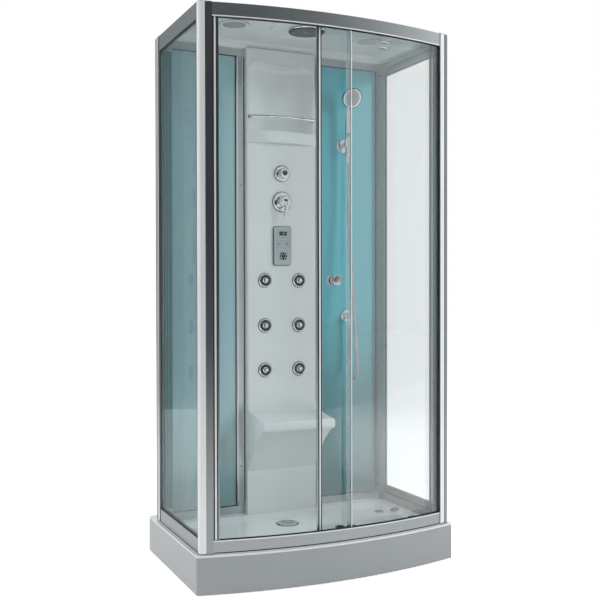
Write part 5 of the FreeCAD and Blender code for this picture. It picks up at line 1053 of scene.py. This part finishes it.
def ceilingLamps():
    z, away = cabinLines["ceiling"], ceilingLamp["eyeRing"]
    places = [((x, y, z), down) for x, y in ceilingLamp["places"]]
    addTurned("lampRings", ceilingLamp["ring"], places, 40, chrome)
    addTurned("lampLenses", ceilingLamp["lens"], places, 32, blackPlastic)
    eyes = [((x + away * math.cos(a), y + away * math.sin(a), z - ceilingLamp["eyeDrop"]), down)
            for x, y in ceilingLamp["places"] for a in ceilingLamp["eyeTurns"]]
    addTurned("lampEyes", ceilingLamp["eye"], eyes, 12, palePlasticAndHighlights)


ceilingPorts = {
    "speaker": 0.3, "fan": -0.3, "y": -0.02, "clothLift": 0.0009,
    "cloth": [(0.0455, 0.0), (0.0455, 0.0012), (0.03, 0.0018), (0.001, 0.002)],
    "ring": [(0.0585, 0.0002), (0.0592, 0.0012), (0.0585, 0.0034), (0.0572, 0.0034), (0.0572, 0.0002)],
}


def portCloths():
    z, y = cabinLines["ceiling"], ceilingPorts["y"]
    place = (ceilingPorts["speaker"], y, z + ceilingPorts["clothLift"])
    addTurned("speakerCloth", ceilingPorts["cloth"], [(place, down)], 48, blackRubberAndShadeLines)
    for port in ("speaker", "fan"):
        place = (ceilingPorts[port], y, z)
        addTurned(port + "Ring", ceilingPorts["ring"], [(place, down)], 64, innerMetal)


roofParts = {
    "lift": 0.005,
    "can": [(0.047, 0.0), (0.047, 0.004), (0.040, 0.0075), (0.022, 0.009), (0.021, 0.012), (0.001, 0.0125)],
    "motorTop": 2.1745, "motorCap": [(0.0098, 0.0), (0.0098, 0.0018), (0.0085, 0.0026), (0.001, 0.003)],
    "box": ((0.03, 0.06, 0.0), (0.11, 0.11, 0.011)), "rounding": 0.0012,
    "lid": ((0.034, 0.064, 0.011), (0.106, 0.106, 0.0124)),
}


def roofFittings():
    top, y = cabinLines["ceiling"] + roofParts["lift"], ceilingPorts["y"]
    addTurned("speakerBack", roofParts["can"], [((ceilingPorts["speaker"], y, top), up)], 40, blackPlastic)
    addTurned("fanMotorCap", roofParts["motorCap"], [((ceilingPorts["fan"], y, roofParts["motorTop"]), up)],
              24, blackPlastic)
    bars = [tuple((x, y, top + z) for x, y, z in roofParts[part]) for part in ("box", "lid")]
    addBars("junctionBox", bars, blackPlastic, bevel=roofParts["rounding"])


rainNozzles()
ceilingLamps()
portCloths()
roofFittings()

print("stage 8: control panel")

controlPanel = {
    "plate": (-0.0288, 1.3268, 0.0288, 1.3632),  # boxes: left, low, right, high
    "lens": (-0.0175, 1.3400, 0.0175, 1.3562),
    "digits": ("abgcd", "abcdefg"),  # 3 and 8, by their lit segments
    "digitStart": (-0.006, 1.3435), "digitPitch": 0.0075, "digitHeight": 0.009,
    "lamps": (0.0125, -0.0125), "lampHeight": 1.3495, "lampRadius": 0.0011,
    # the bright lines are painted highlights on the panel's edges
    "brightLines": ((-0.039, 1.214, -0.0375, 1.376), (-0.0265, 1.3665, 0.0265, 1.3685),
                    (-0.0265, 1.3205, 0.0265, 1.3225)),
    # the gasket is a black outline round the panel's foot, as painted shadow
    "gasket": [(-0.0425, 1.219), (-0.0365, 1.2102), (0.0365, 1.2102), (0.0425, 1.219), (0.0425, 1.371),
               (0.0365, 1.3798), (-0.0365, 1.3798), (-0.0425, 1.371)],
    "dots": ((-0.030, 1.2915), (-0.030, 1.317), (-0.010, 1.317), (0.010, 1.317), (0.030, 1.2915),
             (0.030, 1.317)),
    "dotRadius": 0.0017,
}

navPad = {
    "depth": 0.0025, "centre": 1.251, "radius": 0.0192,
    "petals": 8, "petal": (0.0182, 0.0100), "petalTurns": (-0.27, -0.09, 0.09, 0.27),
    "arrow": ((-0.0030, -0.0015), (0.0030, -0.0015), (0.0, 0.0030)),
}

keyMarks = {
    "x": 0.020,
    "bar": (0.0035, 1.3034, 1.3046),  # half width, low and high
    "plus": ((0.0006, 1.3046, 1.3075), (0.0006, 1.3005, 1.3034)),
}

panelLayers = {  # where each starts behind the face it lies on, its thickness and its rounding
    "displayPlate": (0.0019, 0.0012, 0.0006), "displayLens": (0.0008, 0.0008, 0.0006),
    "displayDigits": (0.0001, 0.0002, 0.0), "panelPaintedHighlights": (0.0, 0.0004, 0.00015),
    "panelPaintedShadow": (0.0, 0.0025, 0.0005), "panelDots": (0.0, 0.0005, 0.00015),
    "padDisc": (0.0001, 0.0003, 0.0), "padPetals": (-0.0001, 0.0006, 0.0003),
    "padArrow": (-0.0006, 0.0004, 0.0), "leftKeyMark": (0.0, 0.0003, 0.0),
    "rightKeyMark": (0.0, 0.0003, 0.0),
}


def segmentOutlines(lit, x, y, height):  # straight segments, as on any clock display
    width, thick, gap = 0.52 * height, 0.14 * height, 0.02 * height
    half = height / 2
    bars = {"a": (0, height - thick, width, height), "d": (0, 0, width, thick),
            "g": (0, half - thick / 2, width, half + thick / 2),
            "b": (width - thick, half, width, height), "c": (width - thick, 0, width, half),
            "f": (0, half, thick, height), "e": (0, 0, thick, half)}
    return [boxOutline(x + bars[s][0] + gap, y + bars[s][1] + gap, x + bars[s][2] - gap,
                       y + bars[s][3] - gap) for s in lit]


def stampLayer(name, outlines, face, material, body="cabin"):
    depth, thick, rounding = panelLayers[name]
    addStamped(name, outlines, (0, face + depth, 0), up, thick, material, body, rounding)


def dressPanel():
    face = cabinLines["panelFace"]
    stampLayer("displayPlate", [boxOutline(*controlPanel["plate"])], face, panelPaint)
    stampLayer("displayLens", [boxOutline(*controlPanel["lens"])], face, blackPlastic)
    pitch, height = controlPanel["digitPitch"], controlPanel["digitHeight"]
    x, z = controlPanel["digitStart"]
    outlines = []
    for place, lit in enumerate(controlPanel["digits"]):
        outlines += segmentOutlines(lit, x + pitch * place, z, height)
    for x in controlPanel["lamps"]:
        outlines.append(roundOutline(x, controlPanel["lampHeight"], controlPanel["lampRadius"], 10))
    stampLayer("displayDigits", outlines, face, paleDigits)
    # painted highlights along the panel's edges, and a black outline round its foot as painted shadow
    outlines = [boxOutline(*line) for line in controlPanel["brightLines"]]
    stampLayer("panelPaintedHighlights", outlines, face, palePlasticAndHighlights)
    stampLayer("panelPaintedShadow", [controlPanel["gasket"]], cabinLines["columnFace"], blackRubberAndShadeLines)
    outlines = [roundOutline(x, z, controlPanel["dotRadius"], 12) for x, z in controlPanel["dots"]]
    stampLayer("panelDots", outlines, face, blackPlastic)


def dressKeys():
    pad, middle = cabinLines["panelFace"] - navPad["depth"], navPad["centre"]
    stampLayer("padDisc", [roundOutline(0, middle, navPad["radius"], 40)], pad, panelPaint,
               "pad")
    outlines = []
    for step in range(navPad["petals"]):
        turns = [2 * math.pi / navPad["petals"] * step + shift for shift in navPad["petalTurns"]]
        outlines.append(ringOutline(0, middle, *navPad["petal"], turns))
    stampLayer("padPetals", outlines, pad, blackPlastic, "pad")
    arrow = [(x, middle + z) for x, z in navPad["arrow"]]
    stampLayer("padArrow", [arrow], pad, blackPlastic, "pad")
    for side, x, parts in (("left", -keyMarks["x"], ()), ("right", keyMarks["x"], keyMarks["plus"])):
        outlines = [boxOutline(x - half, low, x + half, high)
                    for half, low, high in (keyMarks["bar"], *parts)]
        stampLayer(side + "KeyMark", outlines, pad, blackPlastic, side + "_key")


dressPanel()
dressKeys()

print("stage 9: jets, valves and floor nozzles")

wallJet = {
    "places": [(x, z) for z in (1.146, 0.952, 0.761) for x in (-0.080, 0.080)],
    "ringFace": 0.1895, "lipFace": 0.1789, "spotFace": 0.1777,
    "ring": [(0.0238, 0.0), (0.0246, 0.0008), (0.0238, 0.0018), (0.0230, 0.0018), (0.0224, 0.0006)],
    "gasket": [(0.0305, -0.0002), (0.0318, 0.0), (0.0318, 0.0014), (0.0303, 0.0018)],
    "lip": [(0.0062, 0.0), (0.0072, 0.0004), (0.0078, 0.0014), (0.0068, 0.0018), (0.0040, 0.0012),
            (0.0030, -0.002)],
    "spot": [(0.0009, 0.0), (0.0007, 0.0003), (0.0002, 0.0004)],
    "spotRing": 0.0046, "spotTurns": (0.4, 1.66, 2.91, 4.17, 5.43),
}


def dressJets():
    places, away = wallJet["places"], wallJet["spotRing"]
    rings = [((x, wallJet["ringFace"], z), outward) for x, z in places]
    addTurned("jetRings", wallJet["ring"], rings, 40, darkChrome)
    bases = [((x, cabinLines["columnFace"], z), outward) for x, z in places]
    addTurned("jetGaskets", wallJet["gasket"], bases, 40, blackRubberAndShadeLines)
    for number, (x, z) in enumerate(places, start=1):
        body = "jet_%d" % number
        addTurned("jetLip%d" % number, wallJet["lip"], [((x, wallJet["lipFace"], z), outward)], 28, chrome,
                  body)
        spots = [((x + away * math.cos(a), wallJet["spotFace"], z + away * math.sin(a)), outward)
                 for a in wallJet["spotTurns"]]
        addTurned("jetSpots%d" % number, wallJet["spot"], spots, 8, blackRubberAndShadeLines, body=body)


valves = {
    "diverter": 1.608, "mixer": 1.486,  # heights of their axes
    "diverterGasket": [(0.0348, 0.0), (0.0356, 0.0006), (0.0356, 0.0018), (0.0342, 0.0022)],
    "mixerGasket": [(0.0438, 0.0), (0.0446, 0.0006), (0.0446, 0.0018), (0.0432, 0.0022)],
    "cap": [(0.0118, 0.0), (0.0118, 0.0006), (0.0100, 0.0014), (0.0040, 0.0018), (0.0005, 0.0019)],
    "capFace": 0.1617,
    "index": (-0.0008, 1.6125, 0.0008, 1.6185), "indexFace": 0.1601, "indexThick": 0.0003,
    "dot": [(0.0022, 0.0), (0.0021, 0.0005), (0.0012, 0.0009), (0.0003, 0.001)],
    "dots": (("hotDot", -0.0115, redMark), ("coldDot", 0.0115, blueMark)),
    "dotFace": 0.1556, "dotHeight": 1.4975,
}


def dressValves():
    for valve in ("diverter", "mixer"):
        place = (0, cabinLines["columnFace"], valves[valve])
        addTurned(valve + "Gasket", valves[valve + "Gasket"], [(place, outward)], 48, blackRubberAndShadeLines)
    addTurned("diverterCap", valves["cap"], [((0, valves["capFace"], valves["diverter"]), outward)], 32,
              darkChrome, "diverter")
    addStamped("diverterIndex", [boxOutline(*valves["index"])], (0, valves["indexFace"], 0), up,
               valves["indexThick"], palePlasticAndHighlights, "diverter")
    for name, x, material in valves["dots"]:
        addTurned(name, valves["dot"], [((x, valves["dotFace"], valves["dotHeight"]), outward)], 16, material,
                  "mixer")


floorJet = {
    "places": ((0.400, 0.055, 0.131), (0.468, 0.035, 0.13688), (0.468, -0.110, 0.13688),
               (0.127, -0.101, 0.131), (0.176, -0.109, 0.131)),
    "core": [(0.0079, 0.0), (0.0079, 0.0035), (0.0062, 0.0052), (0.0038, 0.0052), (0.0030, 0.0035),
             (0.0028, 0.001)],
    "sunk": 0.001,
    "seat": [(0.0212, -0.0002), (0.0216, 0.0), (0.0212, 0.0010), (0.0196, 0.0012)],
}

drain = {
    "seatPlace": (-0.045, 0.043, 0.131), "bossPlace": (-0.045, 0.043, 0.1368),
    "seat": [(0.0458, 0.0), (0.0478, 0.0), (0.0482, 0.0006), (0.0476, 0.0012), (0.0458, 0.0008)],
    "boss": [(0.0085, 0.0), (0.0085, 0.0008), (0.0070, 0.0018), (0.0030, 0.0022), (0.0005, 0.0023)],
}


def dressFloor():
    places = [((x, y, z - floorJet["sunk"]), up) for x, y, z in floorJet["places"]]
    addTurned("floorJetCores", floorJet["core"], places, 28, darkChrome)
    places = [(place, up) for place in floorJet["places"]]
    addTurned("floorJetSeats", floorJet["seat"], places, 40, blackRubberAndShadeLines)
    addTurned("drainSeat", drain["seat"], [(drain["seatPlace"], up)], 64, blackRubberAndShadeLines)
    addTurned("drainBoss", drain["boss"], [(drain["bossPlace"], up)], 28, chrome,
              "waste_cover")


dressJets()
dressValves()
dressFloor()

print("stage 10: hand shower and door knob")

handShower = {
    "centre": (0.314, 0.152, 1.954), "tilt": 24.0, "faceOut": 0.0132,
    "plate": [(0.0362, -0.0006), (0.0362, 0.0004), (0.0345, 0.0012), (0.002, 0.0014)],
    "rim": [(0.0430, -0.0070), (0.0438, -0.0050), (0.0438, -0.0022), (0.0420, 0.0002), (0.0385, 0.0008),
            (0.0372, -0.0004)],
    "rings": ((0.0, 1), (0.008, 7), (0.015, 13), (0.022, 19), (0.0295, 26)),  # radius and nozzles
    "nozzle": [(0.0025, 0.0), (0.0022, 0.0008), (0.0010, 0.0014)], "nozzleLift": 0.0013,
    "band": [(0.0436, -0.0044), (0.0464, -0.0036), (0.0464, -0.0008), (0.0446, 0.0004), (0.0432, -0.0006)],
    "grip": (0.314, 0.182), "inlayAway": (0.0112, -0.0062), "inlayHalf": (0.0013, 0.0022),
    "inlayHeights": ((1.702, 1.737), (1.806, 1.880)), "inlayRounding": 0.0008,
    "rib": [(0.0128, 0.0), (0.0133, 0.0012), (0.0128, 0.0024)],
    "ribHeights": (1.782, 1.7865, 1.791, 1.7955, 1.800),
}


def dressSprayHead():
    tilt = math.radians(handShower["tilt"])
    facing = Vector((0, -math.cos(tilt), -math.sin(tilt)))
    face = Vector(handShower["centre"]) + facing * handShower["faceOut"]
    onFace = [(face, facing)]
    addTurned("sprayPlate", handShower["plate"], onFace, 48, panelPaint, "shower")
    addTurned("sprayRim", handShower["rim"], onFace, 56, chrome, "shower")
    side = facing.orthogonal().normalized()
    other = facing.cross(side)
    foot = face + facing * handShower["nozzleLift"]
    places = []
    for radius, count in handShower["rings"]:
        for number in range(count):
            angle = 2 * math.pi * number / count
            places.append((foot + (side * math.cos(angle) + other * math.sin(angle)) * radius, facing))
    addTurned("sprayNozzles", handShower["nozzle"], places, 8, blackRubberAndShadeLines, body="shower")
    addTurned("sprayBand", handShower["band"], onFace, 56, blackRubberAndShadeLines, body="shower")
    x, y = handShower["grip"]
    (away, forward), (halfX, halfY) = handShower["inlayAway"], handShower["inlayHalf"]
    bars = []
    for sign in (-1, 1):
        inlayX, inlayY = x + sign * away, y + forward
        for low, high in handShower["inlayHeights"]:
            bars.append(((inlayX - halfX, inlayY - halfY, low), (inlayX + halfX, inlayY + halfY, high)))
    addBars("gripInlays", bars, blackRubberAndShadeLines, body="shower", bevel=handShower["inlayRounding"])
    places = [((x, y, z), up) for z in handShower["ribHeights"]]
    addTurned("gripRibs", handShower["rib"], places, 28, blackRubberAndShadeLines, body="shower")


ferrule = {
    "profile": [(0.0082, 0.0), (0.0088, 0.0015), (0.0088, 0.010), (0.0080, 0.013), (0.0074, 0.020),
                (0.0072, 0.0245)],
    "upper": (0.314, 0.182, 1.6898), "lower": (0.332, 0.195, 0.9622),
}


def hoseFerrules():
    for end in ("upper", "lower"):
        addTurned(end + "Ferrule", ferrule["profile"], [(ferrule[end], down)], 28, chrome)


doorKnob = {
    "angle": cabinLines["doorRest"] + arcTurn(0.064, cabinLines["doorRadius"]), "height": 1.142,
    "reach": 0.036, "innerReach": 0.022, "glass": 0.006,
    "inlay": [(0.0145, 0.0), (0.0145, 0.0006), (0.0125, 0.0012), (0.001, 0.0014)],
    "rim": [(0.0191, -0.0120), (0.0196, -0.0100), (0.0196, -0.0028), (0.0188, -0.0002), (0.0172, 0.0009),
            (0.0152, 0.0009), (0.0147, 0.0)],
    "band": [(0.0193, -0.0085), (0.0199, -0.0080), (0.0199, -0.0062), (0.0193, -0.0057)],
    "innerInlay": [(0.0140, 0.0), (0.0140, 0.0006), (0.011, 0.0012), (0.001, 0.0014)],
    "washer": [(0.0164, 0.0), (0.0168, 0.0003), (0.0168, 0.0009), (0.0160, 0.0012)],
}


def dressKnob():
    angle, height, radius = doorKnob["angle"], doorKnob["height"], cabinLines["doorRadius"]
    turn = math.radians(angle)
    away = Vector((math.sin(turn), -math.cos(turn), 0))
    back = radius - doorKnob["glass"]
    front = [(bowPoint(radius + doorKnob["reach"], angle, height), away)]
    rear = [(bowPoint(back - doorKnob["innerReach"], angle, height), -away)]
    addTurned("knobInlay", doorKnob["inlay"], front, 40, innerMetal, "door")
    addTurned("knobRim", doorKnob["rim"], front, 48, chrome, "door")
    addTurned("knobBand", doorKnob["band"], front, 48, blackRubberAndShadeLines, body="door")
    addTurned("innerKnobInlay", doorKnob["innerInlay"], rear, 40, innerMetal, "door")
    faces = [(bowPoint(radius, angle, height), away), (bowPoint(back, angle, height), -away)]
    addTurned("knobWashers", doorKnob["washer"], faces, 40, blackRubberAndShadeLines, body="door")


dressSprayHead()
hoseFerrules()
dressKnob()

print("stage 11: services")

boiler = {
    "screwFace": 0.347, "screwSides": (-0.098, 0.098), "screwHeights": (0.175, 0.315, 0.460),
    "gland": [(0.0095, 0.0), (0.0095, 0.008), (0.0075, 0.010), (0.0065, 0.016), (0.004, 0.0175)],
    "glandPlace": (-0.02, 0.315, 0.475),
    "union": [(0.0165, 0.0), (0.0165, 0.008), (0.015, 0.0095), (0.0112, 0.0098)],
    "unionPlace": (0.055, 0.315, 0.480), "unionRounding": 0.0006,
}


def dressBoiler():
    places = [((x, boiler["screwFace"], z), rearward)
              for x in boiler["screwSides"] for z in boiler["screwHeights"]]
    driveScrews("boilerScrews", places, zinc)
    addTurned("cableGland", boiler["gland"], [(boiler["glandPlace"], up)], 6, blackPlastic)
    addTurned("steamUnion", boiler["union"], [(boiler["unionPlace"], up)], 6, brass,
              bevel=boiler["unionRounding"])


waterInlet = {"nut": [(0.0150, 0.0), (0.0156, 0.0008), (0.0156, 0.0062), (0.0150, 0.007)],
              "places": ((-0.075, 0.3115, 1.32), (0.075, 0.3115, 1.32)), "rounding": 0.0004}


def dressInlets():
    places = [(place, rearward) for place in waterInlet["places"]]
    addTurned("inletNuts", waterInlet["nut"], places, 6, chrome,
              bevel=waterInlet["rounding"])


dressBoiler()
dressInlets()
